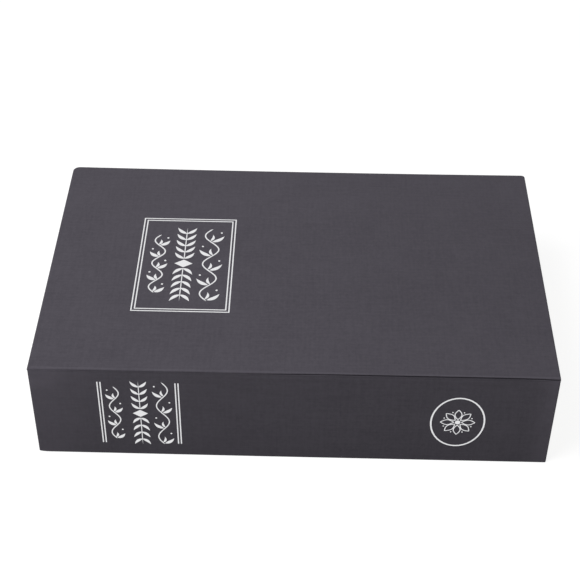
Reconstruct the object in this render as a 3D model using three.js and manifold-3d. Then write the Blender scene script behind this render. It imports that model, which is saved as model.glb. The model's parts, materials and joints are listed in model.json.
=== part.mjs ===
// Book diversion safe: a steel box with a dial lock, hidden in a cloth bound book.
// Millimetres. X runs from the head of the book (-) to its tail (+), Y from the spine (-)
// to the fore-edge (+), and Z up through the thickness. The book lies closed on its back cover.

import * as THREE from "three";
import { mergeVertices } from "three/addons/utils/BufferGeometryUtils.js";
import Module from "manifold-3d";

const wasm = await Module();
wasm.setup();

// Outside of the closed book
const book_height = 240;
const book_width = 155;
const book_thickness = 55;
const board_thickness = 2;
const head_corner_radius = 3.5;
const tail_corner_radius = 1.8;
const spine_foot_radius = 1.5;
const spine_end_inset = 0.3;
const foil_thickness = 0.1;

// Cloth joint between the spine and the front board
const joint_strip_width = 0.5;
const joint_strip_height = 0.6;
const joint_gap = 0.15;
const joint_fold_inset = 0.05;
const joint_end_inset = 1;

// Endpapers and page edges
const front_lining_thickness = 0.4;
const back_lining_thickness = 0.3;
const square_width = 3;
const cover_gap = 0.4;
const page_thickness = 4;
const page_rib_pitch = 1.2;
const page_rib_depth = 0.25;

// Steel box and its liner
const box_wall = 1;
const box_top_drop = 0.5;
const felt_thickness = 1;
const glue_gap = 0.3;

// Rim frame inside the mouth of the box
const flange_width = 6;
const flange_thickness = 1;
const rim_leg_height = 4;
const rim_leg_thickness = 1;
const rim_near_setback = 4.5;

// Lid
const lid_thickness = 1.2;
const lid_edge_gap = 0.8;
const lid_seat_gap = 0.3;
const lid_corner_radius = 3;
const lid_hinge_setback = 2.2;
const finger_notch_radius = 9;
const finger_notch_x = 45;

// Piano hinge
const hinge_end_gap = 0.7;
const hinge_knuckles = 11;
const knuckle_radius = 1.9;
const knuckle_bore_radius = 1.35;
const knuckle_end_gap = 0.3;
const hinge_pin_radius = 1;
const hinge_pin_overhang = 0.8;
const leaf_thickness = 0.8;
const box_leaf_depth = 12;
const lid_leaf_depth = 12;
const rivet_end_distance = 25;
const rivets_per_leaf = 3;
const rivet_radius = 1.2;
const rivet_head_radius = 2.2;
const rivet_head_height = 0.7;
const rivet_edge_share = 0.35;
const rivet_edge_distance = 4.5;

// Dials, code discs and axle
const dial_count = 3;
const dial_radius = 7.5;
const dial_width = 4;
const dial_faces = 10;
const dial_groove_depth = 0.7;
const dial_face_half_share = 0.3;
const dial_proud = 1.2;
const dial_top_clearance = 0.6;
const hub_radius = 2.9;
const hub_bore_radius = 1.9;
const axle_radius = 1.5;
const disc_thickness = 0.8;
const disc_rim = 0.4;
const notch_clearance = 0.4;
const hub_overhang = 0.3;

// Latch slide and button
const latch_travel = 3;
const tooth_thickness = 0.8;
const tooth_height = 1.8;
const tooth_clearance = 0.4;
const comb_bar_width = 1.4;
const comb_bar_gap = 0.7;
const latch_head_half_width = 5;
const latch_neck_length = 3;
const latch_neck_width = 4;
const latch_head_margin = 0.3;
const tongue_width = 10;
const tongue_thickness = 2.3;
const tongue_drop = 0.3;
const tongue_rest_gap = 0.8;
const button_length = 7;
const button_width = 8;
const button_corner_radius = 1.2;
const button_lift = 0.3;
const button_groove_depth = 0.3;
const button_groove_width = 0.5;
const button_groove_pitch = 1.4;
const button_grooves = 4;

// Lock case, bezel, screws, spring and reset lever
const case_wall = 1;
const case_floor = 1;
const case_side_gap = 0.6;
const case_end_gap = 0.4;
const case_swing_gap = 1.6;
const case_ear_length = 7.6;
const case_ear_width = 17;
const case_ear_thickness = 1.9;
const bezel_thickness = 0.8;
const bezel_width = 18;
const bezel_margin = 0.6;
const bezel_corner_radius = 2;
const boss_radius = 2;
const boss_spacing = 10;
const screw_radius = 1;
const screw_head_radius = 1.9;
const screw_head_height = 1.2;
const screw_reach = 1;
const spring_thickness = 0.4;
const spring_rise = 0.3;
const spring_finger_width = 2.6;
const spring_root_width = 3.2;
const spring_tip_overhang = 2;
const lever_post_radius = 1.5;
const lever_collar_radius = 2.6;
const lever_collar_height = 1;
const lever_arm_length = 8.5;
const lever_arm_width = 4;
const lever_arm_thickness = 0.9;
const lever_round_share = 0.9;

// Foil on the front cover: places run from the head and from the spine edge.
// The rows' shares are of the inner frame.
const frame_stroke = 0.6;
const outer_frame_head = 42.3;
const outer_frame_length = 46.8;
const outer_frame_spine = 40.2;
const outer_frame_width = 71.25;
const frame_step = 1.55;
const title_row_stroke = 0.9;
const title_row_shares = [
  { head: 0.079, height: 0.22, width: 0.652, count: 5 },
  { head: 0.367, height: 0.22, width: 0.823, count: 6 },
  { head: 0.635, height: 0.279, width: 0.81, count: 5 },
];

// Foil on the spine: places run from the head, the device's from the tail, its drop from mid height.
// The rows' shares are of the field between the rules, and of the rules' length.
const rule_stroke = 0.55;
const rule_length = 39.7;
const first_rule_head = 31.05;
const rule_step = 1.37;
const rule_field = 34;
const spine_row_stroke = 0.9;
const spine_row_shares = [
  { head: 0.049, height: 0.227, width: 0.861, count: 4 },
  { head: 0.394, height: 0.224, width: 1.038, count: 5 },
  { head: 0.679, height: 0.268, width: 1.025, count: 4 },
];
const device_tail = 44;
const device_drop = 1.5;
const device_half_length = 12.7;
const device_half_width = 16;
const device_stroke = 0.75;
const rosette_radius = 8;
const rosette_stroke = 1;
const rosette_petals = 8;
const rosette_dip_share = 0.3;

// Clearances that several pieces share, and the fineness of round work
const running_gap = 0.3;
const overrun = 1;
const weld_distance = 1e-4;
const corner_steps = 6;
const round_sides = 20;
const knuckle_sides = 16;
const rivet_sides = 12;
const ring_steps = 40;

// Heights, from the table up
const back_board_top = board_thickness;
const box_bottom = back_board_top + back_lining_thickness;
const front_board_top = book_thickness - foil_thickness;
const front_board_bottom = front_board_top - board_thickness;
const lining_bottom = front_board_bottom - front_lining_thickness;
const page_top = lining_bottom - cover_gap;
const box_top = page_top - box_top_drop;
const dial_top = lining_bottom - dial_top_clearance;
const bezel_top = dial_top - dial_proud;
const lid_top = bezel_top - bezel_thickness;
const lid_bottom = lid_top - lid_thickness;
const flange_top = lid_bottom - lid_seat_gap;
const flange_bottom = flange_top - flange_thickness;
const rim_bottom = flange_bottom - rim_leg_height;
const hinge_z = lid_bottom - leaf_thickness / 2;
const axle_z = dial_top - dial_radius;
const joint_strip_top = front_board_bottom - 2 * joint_gap;
const joint_strip_bottom = joint_strip_top - joint_strip_height;
const spine_top = joint_strip_bottom - 2 * joint_gap;

// Places along the book, from its middle
const book_half = book_height / 2;
const page_half = book_half - square_width;
const box_half = page_half - page_thickness - glue_gap;
const box_inside_half = box_half - box_wall;
const lid_half = box_inside_half - lid_edge_gap;
const hinge_half = box_inside_half - flange_width - hinge_end_gap;

// Places across the book, from the spine to the fore-edge
const spine_edge = -book_width / 2;
const fore_edge = book_width / 2;
const spine_face = spine_edge + foil_thickness;
const spine_inside = spine_face + board_thickness;
const box_near = spine_inside + glue_gap;
const box_inside_near = box_near + box_wall;
const page_far = fore_edge - square_width;
const box_far = page_far - page_thickness - glue_gap;
const box_inside_far = box_far - box_wall;
const box_leaf_near = box_inside_near + glue_gap;
const hinge_y = box_leaf_near + knuckle_radius;
const lid_near = hinge_y + lid_hinge_setback;
const lid_far = box_inside_far - lid_edge_gap;
const flange_near = box_inside_far - flange_width;
const rim_near = box_inside_near + rim_near_setback;
const lid_leaf_far = hinge_y + lid_leaf_depth;
const box_leaf_bottom = hinge_z - box_leaf_depth;
const box_rivet_z = box_leaf_bottom + rivet_edge_distance;
const lid_rivet_y = lid_leaf_far - rivet_edge_distance;
const rivet_hole_radius = rivet_radius + running_gap;

// Lock layout, worked back from the rim flange that the tongue goes under
const case_far = flange_near - case_swing_gap;
const case_inside_far = case_far - case_wall;
const latch_head_far = case_inside_far - case_end_gap - latch_travel;
const latch_head_near = latch_head_far - latch_neck_length - 2 * latch_head_margin;
const latch_neck_near = latch_head_near + latch_head_margin;
const latch_neck_far = latch_head_far - latch_head_margin;
const support_far = latch_head_near - case_end_gap;
const support_near = support_far - case_wall;
const dial_pitch = dial_width + latch_travel + tooth_thickness + 2 * tooth_clearance;
const last_disc_y = support_near - running_gap - tooth_thickness / 2 - latch_travel / 2;
const last_dial_y = last_disc_y - dial_pitch / 2;
const first_dial_y = last_dial_y - (dial_count - 1) * dial_pitch;
const dial_places = Array.from({ length: dial_count }, (_, k) => first_dial_y + k * dial_pitch);
const first_dial_near = dial_places[0] - dial_width / 2;
const case_inside_near = first_dial_near - case_side_gap;
const case_near = case_inside_near - case_wall;
const case_ear_near = case_near - case_ear_length;
const boss_y = (case_near + case_ear_near) / 2;
const comb_bar_near_x = dial_radius + comb_bar_gap;
const comb_bar_far_x = comb_bar_near_x + comb_bar_width;
const case_inside_half = comb_bar_far_x + case_side_gap;
const case_half = case_inside_half + case_wall;
const disc_radius = lid_top - axle_z - running_gap;
const disc_bore_radius = hub_radius + running_gap;
const notch_floor_radius = disc_bore_radius + disc_rim;
const tooth_tip_x = notch_floor_radius + running_gap;
const tongue_top = flange_bottom - tongue_drop;
const tongue_far = flange_near - tongue_rest_gap;
const spring_tip_top = axle_z - dial_radius - running_gap;
const case_floor_top = spring_tip_top - spring_thickness - spring_rise;
const case_bottom = case_floor_top - case_floor;
const ear_bottom = lid_bottom - case_ear_thickness;
const lever_y = (support_far + case_inside_far) / 2;
const slot_near = latch_neck_near - case_end_gap;
const slot_far = latch_neck_far + latch_travel + case_end_gap;
const slot_half_width = latch_neck_width / 2 + running_gap;
const button_bottom = bezel_top + button_lift;
const button_y = (latch_neck_near + latch_neck_far) / 2;

// Foil layout
const inner_head = outer_frame_head + frame_step;
const inner_length = outer_frame_length - 2 * frame_step;
const inner_width = outer_frame_width - 2 * frame_step;
const field_head = first_rule_head + rule_step;
const field_tail = field_head + rule_field;
const rule_places = [first_rule_head, field_head, field_tail, field_tail + rule_step];
const rule_z = book_thickness / 2;
const device_z = book_thickness / 2 - device_drop;

// Finishes
const charcoal_cloth = finish(0x504d54, 0.9, 0);
const silver_foil = finish(0xd9d9dd, 0.3, 0.9);
const cream_paper = finish(0xe9e2cf, 0.85, 0);
const black_steel = finish(0x2a2a2d, 0.5, 0.4);
const bare_steel = finish(0x9a9ca0, 0.35, 0.9);
const bright_chrome = finish(0xc8cacd, 0.15, 1);
const grey_felt = finish(0x3c3a40, 1, 0);
const black_plastic = finish(0x17171a, 0.4, 0);
const brass = finish(0xb08d4a, 0.35, 0.9);

function finish(color, roughness, metalness) {
  return new THREE.MeshStandardMaterial({ color, roughness, metalness });
}

// Axis swaps for extrusions: a section drawn flat is turned to run along X or along Y.
const run_along_x = new THREE.Matrix4().makeBasis(
  new THREE.Vector3(0, 1, 0),
  new THREE.Vector3(0, 0, 1),
  new THREE.Vector3(1, 0, 0),
);
const run_along_y = new THREE.Matrix4().makeBasis(
  new THREE.Vector3(0, 0, 1),
  new THREE.Vector3(1, 0, 0),
  new THREE.Vector3(0, 1, 0),
);

function block(low, high) {
  const size = high.map((value, axis) => value - low[axis]);
  const middle = high.map((value, axis) => (value + low[axis]) / 2);
  return new THREE.BoxGeometry(...size).translate(...middle);
}

// A flat outline, with holes if any, between two heights.
function plate(outline, bottom, top, holes = []) {
  const shape = new THREE.Shape(outline);
  shape.holes = holes.map((hole) => new THREE.Path(hole));
  const body = new THREE.ExtrudeGeometry(shape, { depth: top - bottom, bevelEnabled: false });
  return body.translate(0, 0, bottom);
}

// A section of (Y, Z) points that runs along X.
function rail(section, from_x, to_x) {
  return plate(section, from_x, to_x).applyMatrix4(run_along_x);
}

// A section of (Z, X) points that runs along Y.
function wheel(section, from_y, to_y) {
  return plate(section, from_y, to_y).applyMatrix4(run_along_y);
}

function rod_along_x(radius, from_x, to_x, y, z, sides = round_sides) {
  const rod = new THREE.CylinderGeometry(radius, radius, to_x - from_x, sides).rotateZ(-Math.PI / 2);
  return rod.translate((from_x + to_x) / 2, y, z);
}

function rod_along_y(radius, from_y, to_y, x, z, sides = round_sides) {
  const rod = new THREE.CylinderGeometry(radius, radius, to_y - from_y, sides);
  return rod.translate(x, (from_y + to_y) / 2, z);
}

function rod_along_z(radius, from_z, to_z, x, y, sides = round_sides) {
  const rod = new THREE.CylinderGeometry(radius, radius, to_z - from_z, sides).rotateX(Math.PI / 2);
  return rod.translate(x, y, (from_z + to_z) / 2);
}

// A turned piece about the Z axis, from (radius, height) points.
function turned(profile, sides = round_sides) {
  return new THREE.LatheGeometry(points(profile), sides).rotateX(Math.PI / 2);
}

function points(pairs) {
  return pairs.map(([x, y]) => new THREE.Vector2(x, y));
}

// A rectangle whose corners are rounded one by one, anticlockwise from the low corner.
function rounded_outline(low, high, radii) {
  const signs = [[1, 1], [-1, 1], [-1, -1], [1, -1]];
  const corners = [[low[0], low[1]], [high[0], low[1]], [high[0], high[1]], [low[0], high[1]]];
  return corners.flatMap(([x, y], turn) => {
    const radius = radii[turn];
    if (radius === 0) return [new THREE.Vector2(x, y)];
    const centre_x = x + signs[turn][0] * radius;
    const centre_y = y + signs[turn][1] * radius;
    return Array.from({ length: corner_steps + 1 }, (_, step) => {
      const angle = Math.PI + ((turn + step / corner_steps) * Math.PI) / 2;
      return new THREE.Vector2(centre_x + radius * Math.cos(angle), centre_y + radius * Math.sin(angle));
    });
  });
}

// Solids for cutting and joining.
function solid(geometry) {
  const bare = geometry.index ? geometry.toNonIndexed() : geometry.clone();
  bare.deleteAttribute("normal");
  bare.deleteAttribute("uv");
  const merged = mergeVertices(bare, weld_distance);
  const mesh = new wasm.Mesh({
    numProp: 3,
    vertProperties: merged.attributes.position.array,
    triVerts: new Uint32Array(merged.index.array),
  });
  return new wasm.Manifold(mesh);
}

function geometry_of(body) {
  const mesh = body.getMesh();
  const geometry = new THREE.BufferGeometry();
  geometry.setAttribute("position", new THREE.BufferAttribute(mesh.vertProperties, 3));
  geometry.setIndex(new THREE.BufferAttribute(mesh.triVerts, 1));
  const flat = geometry.toNonIndexed();
  flat.computeVertexNormals();
  return flat;
}

function join(...geometries) {
  return geometry_of(geometries.map(solid).reduce((whole, piece) => whole.add(piece)));
}

function cut(geometry, ...tools) {
  return geometry_of(tools.map(solid).reduce((rest, tool) => rest.subtract(tool), solid(geometry)));
}

function common(geometry, limit) {
  return geometry_of(solid(geometry).intersect(solid(limit)));
}

function named(name, geometry, material) {
  const mesh = new THREE.Mesh(geometry, material);
  mesh.name = name;
  return mesh;
}

function group(meshes, position = [0, 0, 0]) {
  const holder = new THREE.Group();
  holder.add(...meshes);
  holder.position.set(...position);
  return holder;
}

// Boards, endpapers and cloth joint

function board_outline(half_length, near, far, inset = 0) {
  const low = [-half_length + inset, near];
  const high = [half_length - inset, far - inset];
  return rounded_outline(low, high, [0, 0, tail_corner_radius, head_corner_radius]);
}

function back_board() {
  const body = plate(board_outline(book_half, spine_inside, fore_edge), 0, back_board_top);
  return named("back_board", body, charcoal_cloth);
}

function spine_board() {
  const low = [spine_face, 0];
  const high = [spine_inside, spine_top];
  const section = rounded_outline(low, high, [spine_foot_radius, 0, 0, 0]);
  const body = rail(section, -book_half + spine_end_inset, book_half - spine_end_inset);
  return named("spine_board", body, charcoal_cloth);
}

function front_board() {
  const body = plate(board_outline(book_half, spine_edge, fore_edge), front_board_bottom, front_board_top);
  return named("front_board", body, charcoal_cloth);
}

function back_endpaper() {
  const outline = board_outline(book_half, spine_inside, fore_edge, square_width);
  return named("back_endpaper", plate(outline, back_board_top, box_bottom), cream_paper);
}

function front_endpaper() {
  const outline = board_outline(book_half, spine_edge + square_width, fore_edge, square_width);
  return named("front_endpaper", plate(outline, lining_bottom, front_board_bottom), cream_paper);
}

function cloth_joint() {
  const near = spine_face + joint_fold_inset;
  const half_length = book_half - joint_end_inset;
  const low = [-half_length, near, joint_strip_bottom];
  const high = [half_length, near + joint_strip_width, joint_strip_top];
  return named("cloth_joint", block(low, high), charcoal_cloth);
}

// Page edges: a ribbed strip at the head, the fore-edge and the tail, mitred at the corners

// The section of a strip as (height, place) points, with a rib for every few leaves.
function ribbed_section(outer, inward) {
  const inner = outer + inward * page_thickness;
  const groove = outer + inward * page_rib_depth;
  const ribs = Math.max(1, Math.round((page_top - box_bottom) / page_rib_pitch));
  const pitch = (page_top - box_bottom) / ribs;
  const face = Array.from({ length: ribs }, (_, k) => [
    [box_bottom + k * pitch, outer],
    [box_bottom + (k + 1 / 2) * pitch, groove],
  ]).flat();
  return [[box_bottom, inner], ...face, [page_top, outer], [page_top, inner]];
}

// The space of a side strip, cut off at the corner along the mitre.
function side_mitre(side) {
  const depth = page_thickness + overrun;
  const outline = points([
    [side * (page_half + overrun), page_far + overrun - glue_gap],
    [side * (page_half - depth), page_far - depth - glue_gap],
    [side * (page_half - depth), spine_edge],
    [side * (page_half + overrun), spine_edge],
  ]);
  return plate(outline, 0, book_thickness);
}

function page_side(name, side) {
  const strip = wheel(points(ribbed_section(side * page_half, -side)), box_near, page_far);
  return named(name, common(strip, side_mitre(side)), cream_paper);
}

function page_fore() {
  const section = points(ribbed_section(page_far, -1).map(([height, place]) => [place, height]));
  const depth = page_thickness + overrun;
  const mitre = points([
    [-page_half - overrun, page_far + overrun],
    [-page_half + depth, page_far - depth],
    [page_half - depth, page_far - depth],
    [page_half + overrun, page_far + overrun],
  ]);
  const body = common(rail(section, -page_half, page_half), plate(mitre, 0, book_thickness));
  return named("page_edge_fore", body, cream_paper);
}

// Steel box, liner and rim frame

function rivet_places() {
  const first = -hinge_half + rivet_end_distance;
  const spacing = (-2 * first) / (rivets_per_leaf - 1);
  return Array.from({ length: rivets_per_leaf }, (_, k) => first + k * spacing);
}

function steel_box() {
  const outside = block([-box_half, box_near, box_bottom], [box_half, box_far, box_top]);
  const inside = block(
    [-box_inside_half, box_inside_near, box_bottom + box_wall],
    [box_inside_half, box_inside_far, box_top + overrun],
  );
  const from = box_near - overrun;
  const to = box_inside_near + overrun;
  const places = rivet_places();
  const holes = places.map((x) => rod_along_y(rivet_hole_radius, from, to, x, box_rivet_z, rivet_sides));
  return named("steel_box", cut(outside, inside, ...holes), black_steel);
}

function felt_liner() {
  const bottom = box_bottom + box_wall;
  const low = [-box_inside_half + glue_gap, box_inside_near + glue_gap, bottom];
  const high = [box_inside_half - glue_gap, box_inside_far - glue_gap, bottom + felt_thickness];
  return named("felt_liner", block(low, high), grey_felt);
}

// An outline open towards the spine, as wide as a flange or a leg.
function rim_outline(width) {
  const inner_half = box_inside_half - width;
  return points([
    [-box_inside_half, rim_near],
    [-inner_half, rim_near],
    [-inner_half, box_inside_far - width],
    [inner_half, box_inside_far - width],
    [inner_half, rim_near],
    [box_inside_half, rim_near],
    [box_inside_half, box_inside_far],
    [-box_inside_half, box_inside_far],
  ]);
}

function rim_frame() {
  const notch = rod_along_z(
    finger_notch_radius,
    flange_bottom,
    flange_top + overrun,
    finger_notch_x,
    lid_far,
  );
  const flange = cut(plate(rim_outline(flange_width), flange_bottom, flange_top), notch);
  const leg = plate(rim_outline(rim_leg_thickness), rim_bottom, flange_bottom);
  return named("rim_frame", join(flange, leg), black_steel);
}

// Piano hinge

function knuckles(turn, fill) {
  const pitch = (2 * hinge_half) / hinge_knuckles;
  const places = Array.from({ length: hinge_knuckles }, (_, k) => k).filter((k) => k % 2 === turn);
  return places.map((k) => {
    const from = -hinge_half + k * pitch + knuckle_end_gap / 2;
    return fill(from, from + pitch - knuckle_end_gap);
  });
}

function knuckle_rod(from, to) {
  return rod_along_x(knuckle_radius, from, to, hinge_y, hinge_z, knuckle_sides);
}

// A slot in a leaf for the other leaf's knuckle, with room to turn.
function knuckle_room(from, to) {
  const reach = knuckle_radius + running_gap;
  const low = [from - knuckle_end_gap, hinge_y - reach - overrun, hinge_z - reach];
  return block(low, [to + knuckle_end_gap, hinge_y + reach, hinge_z + reach]);
}

function hinge_bore() {
  return rod_along_x(knuckle_bore_radius, -box_half, box_half, hinge_y, hinge_z, knuckle_sides);
}

function hinge_box_leaf() {
  const half = hinge_half;
  const low = [-half, box_leaf_near, box_leaf_bottom];
  const leaf = block(low, [half, box_leaf_near + leaf_thickness, hinge_z]);
  const spaced = cut(leaf, ...knuckles(1, knuckle_room));
  const holes = rivet_places().map((x) =>
    rod_along_y(rivet_hole_radius, box_near, hinge_y, x, box_rivet_z, rivet_sides),
  );
  const body = join(spaced, ...knuckles(0, knuckle_rod));
  return named("hinge_box_leaf", cut(body, hinge_bore(), ...holes), bare_steel);
}

function hinge_lid_leaf() {
  const half = hinge_half;
  const low = [-half, hinge_y, hinge_z - leaf_thickness / 2];
  const leaf = block(low, [half, lid_leaf_far, hinge_z + leaf_thickness / 2]);
  const spaced = cut(leaf, ...knuckles(0, knuckle_room));
  const holes = rivet_places().map((x) =>
    rod_along_z(rivet_hole_radius, hinge_z - leaf_thickness, lid_top, x, lid_rivet_y, rivet_sides),
  );
  const body = join(spaced, ...knuckles(1, knuckle_rod));
  return named("hinge_lid_leaf", cut(body, hinge_bore(), ...holes), bare_steel);
}

function hinge_pin() {
  const half = hinge_half + hinge_pin_overhang;
  const body = rod_along_x(hinge_pin_radius, -half, half, hinge_y, hinge_z, rivet_sides);
  return named("hinge_pin", body, bare_steel);
}

// A rivet along Z with its head on top; its tail is spread under the last plate.
function rivet_geometry(grip) {
  const head_edge = rivet_head_height * rivet_edge_share;
  return turned(
    [
      [0, -grip - rivet_head_height],
      [rivet_head_radius, -grip - rivet_head_height],
      [rivet_head_radius, -grip],
      [rivet_radius, -grip],
      [rivet_radius, 0],
      [rivet_head_radius, 0],
      [rivet_head_radius, head_edge],
      [rivet_radius, rivet_head_height],
      [0, rivet_head_height],
    ],
    rivet_sides,
  );
}

// The tail of a box rivet is set flush in the wall, because the spine board lies close behind it.
function box_rivets() {
  const grip = box_leaf_near + leaf_thickness - box_near;
  const head_edge = rivet_head_height * rivet_edge_share;
  const profile = [
    [0, -grip],
    [rivet_radius, -grip],
    [rivet_radius, 0],
    [rivet_head_radius, 0],
    [rivet_head_radius, head_edge],
    [rivet_radius, rivet_head_height],
    [0, rivet_head_height],
  ];
  return rivet_places().map((x, k) => {
    const body = turned(profile, rivet_sides).rotateX(-Math.PI / 2);
    return named("hinge_box_rivet_" + (k + 1), body.translate(x, box_near + grip, box_rivet_z), bare_steel);
  });
}

function lid_rivets() {
  return rivet_places().map((x, k) => {
    const body = rivet_geometry(lid_thickness + leaf_thickness).translate(x, lid_rivet_y, lid_top);
    return named("hinge_lid_rivet_" + (k + 1), body, bare_steel);
  });
}

// Lid

// Half of the room along X that a dial needs where a plate's underside crosses it.
function dial_room(level) {
  return Math.sqrt(dial_radius ** 2 - (level - axle_z) ** 2) + running_gap;
}

// One opening in the lid for all the dials and discs; the bezel has a window for each dial.
function dial_bay(bottom, top) {
  const half = dial_room(lid_bottom);
  const far = last_disc_y + disc_thickness / 2 + hub_overhang + running_gap;
  return block([-half, first_dial_near - running_gap, bottom], [half, far, top]);
}

function dial_window(y, bottom, top) {
  const half = dial_room(lid_top);
  const half_width = dial_width / 2 + running_gap;
  return block([-half, y - half_width, bottom], [half, y + half_width, top]);
}

function slot_opening(bottom, top) {
  return block([-slot_half_width, slot_near, bottom], [slot_half_width, slot_far, top]);
}

function boss_places() {
  return [-boss_spacing / 2, boss_spacing / 2];
}

function lid_plate() {
  const radii = [0, 0, lid_corner_radius, lid_corner_radius];
  const outline = rounded_outline([-lid_half, lid_near], [lid_half, lid_far], radii);
  const bottom = lid_bottom - overrun;
  const top = lid_top + overrun;
  const boss_holes = boss_places().map((x) => rod_along_z(boss_radius + running_gap, bottom, top, x, boss_y));
  const rivet_holes = rivet_places().map((x) =>
    rod_along_z(rivet_hole_radius, bottom, top, x, lid_rivet_y, rivet_sides),
  );
  const notch = rod_along_z(finger_notch_radius, bottom, top, finger_notch_x, lid_far);
  const tools = [dial_bay(bottom, top), slot_opening(bottom, top), ...boss_holes, ...rivet_holes, notch];
  return named("lid_plate", cut(plate(outline, lid_bottom, lid_top), ...tools), black_steel);
}

// Lock case, bezel and screws

function lock_bezel() {
  const low = [-bezel_width / 2, case_ear_near - bezel_margin];
  const high = [bezel_width / 2, case_far + bezel_margin];
  const face = plate(rounded_outline(low, high, Array(4).fill(bezel_corner_radius)), lid_top, bezel_top);
  const bosses = boss_places().map((x) => rod_along_z(boss_radius, lid_bottom, lid_top, x, boss_y));
  const top = bezel_top + overrun;
  const windows = dial_places.map((y) => dial_window(y, lid_bottom, top));
  const screw_holes = boss_places().map((x) =>
    rod_along_z(screw_radius + running_gap, ear_bottom, lid_top, x, boss_y, rivet_sides),
  );
  const body = cut(join(face, ...bosses), ...windows, slot_opening(lid_bottom, top), ...screw_holes);
  return named("lock_bezel", body, bright_chrome);
}

function lock_case() {
  const outside = block([-case_half, case_near, case_bottom], [case_half, case_far, lid_bottom]);
  const inside = block(
    [-case_inside_half, case_inside_near, case_floor_top],
    [case_inside_half, case_inside_far, lid_bottom + overrun],
  );
  const support = block(
    [-dial_radius, support_near, case_floor_top],
    [dial_radius, support_far, axle_z + hub_radius],
  );
  const ear_low = [-case_ear_width / 2, case_ear_near, ear_bottom];
  const ear = block(ear_low, [case_ear_width / 2, case_near, lid_bottom]);
  const tongue_room_half = tongue_width / 2 + running_gap;
  const tongue_room = block(
    [-tongue_room_half, case_inside_far - overrun, tongue_top - tongue_thickness - running_gap],
    [tongue_room_half, case_far + overrun, tongue_top + running_gap],
  );
  const bore_radius = axle_radius + running_gap;
  const axle_bore = rod_along_y(bore_radius, case_near - overrun, support_far + overrun, 0, axle_z);
  const post_hole = rod_along_z(
    lever_post_radius + running_gap,
    case_bottom - overrun,
    case_floor_top + overrun,
    0,
    lever_y,
  );
  const screw_holes = boss_places().map((x) =>
    rod_along_z(screw_radius + running_gap, ear_bottom - overrun, lid_top, x, boss_y, rivet_sides),
  );
  const shell = join(cut(outside, inside), support, ear);
  return named("lock_case", cut(shell, tongue_room, axle_bore, post_hole, ...screw_holes), bare_steel);
}

function lock_screws() {
  const profile = [
    [0, -screw_head_height],
    [screw_head_radius, -screw_head_height],
    [screw_head_radius, 0],
    [screw_radius, 0],
    [screw_radius, case_ear_thickness + screw_reach],
    [0, case_ear_thickness + screw_reach],
  ];
  return boss_places().map((x, k) =>
    named("lock_screw_" + (k + 1), turned(profile, rivet_sides).translate(x, boss_y, ear_bottom), bare_steel),
  );
}

function lock_axle() {
  return named("lock_axle", rod_along_y(axle_radius, case_near, support_far, 0, axle_z), bare_steel);
}

// A strip on the case floor with one finger rising to just under each dial.
function detent_spring() {
  const root_far_x = -case_inside_half + running_gap + spring_root_width;
  const first = dial_places[0] - dial_width / 2;
  const last = dial_places[dial_count - 1] + dial_width / 2;
  const root = block(
    [-case_inside_half + running_gap, first, case_floor_top],
    [root_far_x, last, case_floor_top + spring_thickness],
  );
  const section = points([
    [case_floor_top, root_far_x - spring_root_width / 2],
    [spring_tip_top - spring_thickness, 0],
    [spring_tip_top - spring_thickness, spring_tip_overhang],
    [spring_tip_top, spring_tip_overhang],
    [spring_tip_top, 0],
    [case_floor_top + spring_thickness, root_far_x - spring_root_width / 2],
  ]);
  const fingers = dial_places.map((y) =>
    wheel(section, y - spring_finger_width / 2, y + spring_finger_width / 2),
  );
  return named("detent_spring", join(root, ...fingers), brass);
}

// Dials with their hubs, and the code discs that ride on the hubs

function dial_outline() {
  const step = (2 * Math.PI) / dial_faces;
  const corners = Array.from({ length: dial_faces }, (_, k) => [
    [k - dial_face_half_share, dial_radius],
    [k, dial_radius],
    [k + dial_face_half_share, dial_radius],
    [k + 1 / 2, dial_radius - dial_groove_depth],
  ]).flat();
  const place = (angle, radius) => [radius * Math.cos(angle), radius * Math.sin(angle)];
  return points(corners.map(([turn, radius]) => place(turn * step, radius)));
}

function dial_geometry() {
  const half = dial_width / 2;
  const hub_end = dial_pitch / 2 + disc_thickness / 2 + hub_overhang;
  const ring = wheel(dial_outline(), -half, half);
  const hub = rod_along_y(hub_radius, -half + overrun, hub_end, 0, 0);
  const bore = rod_along_y(hub_bore_radius, -half - overrun, hub_end + overrun, 0, 0);
  return cut(join(ring, hub), bore);
}

function code_disc_geometry() {
  const near = dial_pitch / 2 - disc_thickness / 2;
  const far = near + disc_thickness;
  const disc = rod_along_y(disc_radius, near, far, 0, 0);
  const bore = rod_along_y(disc_bore_radius, near - overrun, far + overrun, 0, 0);
  const notch_half = tooth_height / 2 + notch_clearance;
  const notch = block(
    [notch_floor_radius, near - overrun, -notch_half],
    [disc_radius + overrun, far + overrun, notch_half],
  );
  return cut(disc, bore, notch);
}

function dial_group(k) {
  const meshes = [
    named("dial_" + (k + 1), dial_geometry(), black_plastic),
    named("code_disc_" + (k + 1), code_disc_geometry(), brass),
  ];
  return group(meshes, [0, dial_places[k], axle_z]);
}

// Latch

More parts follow.
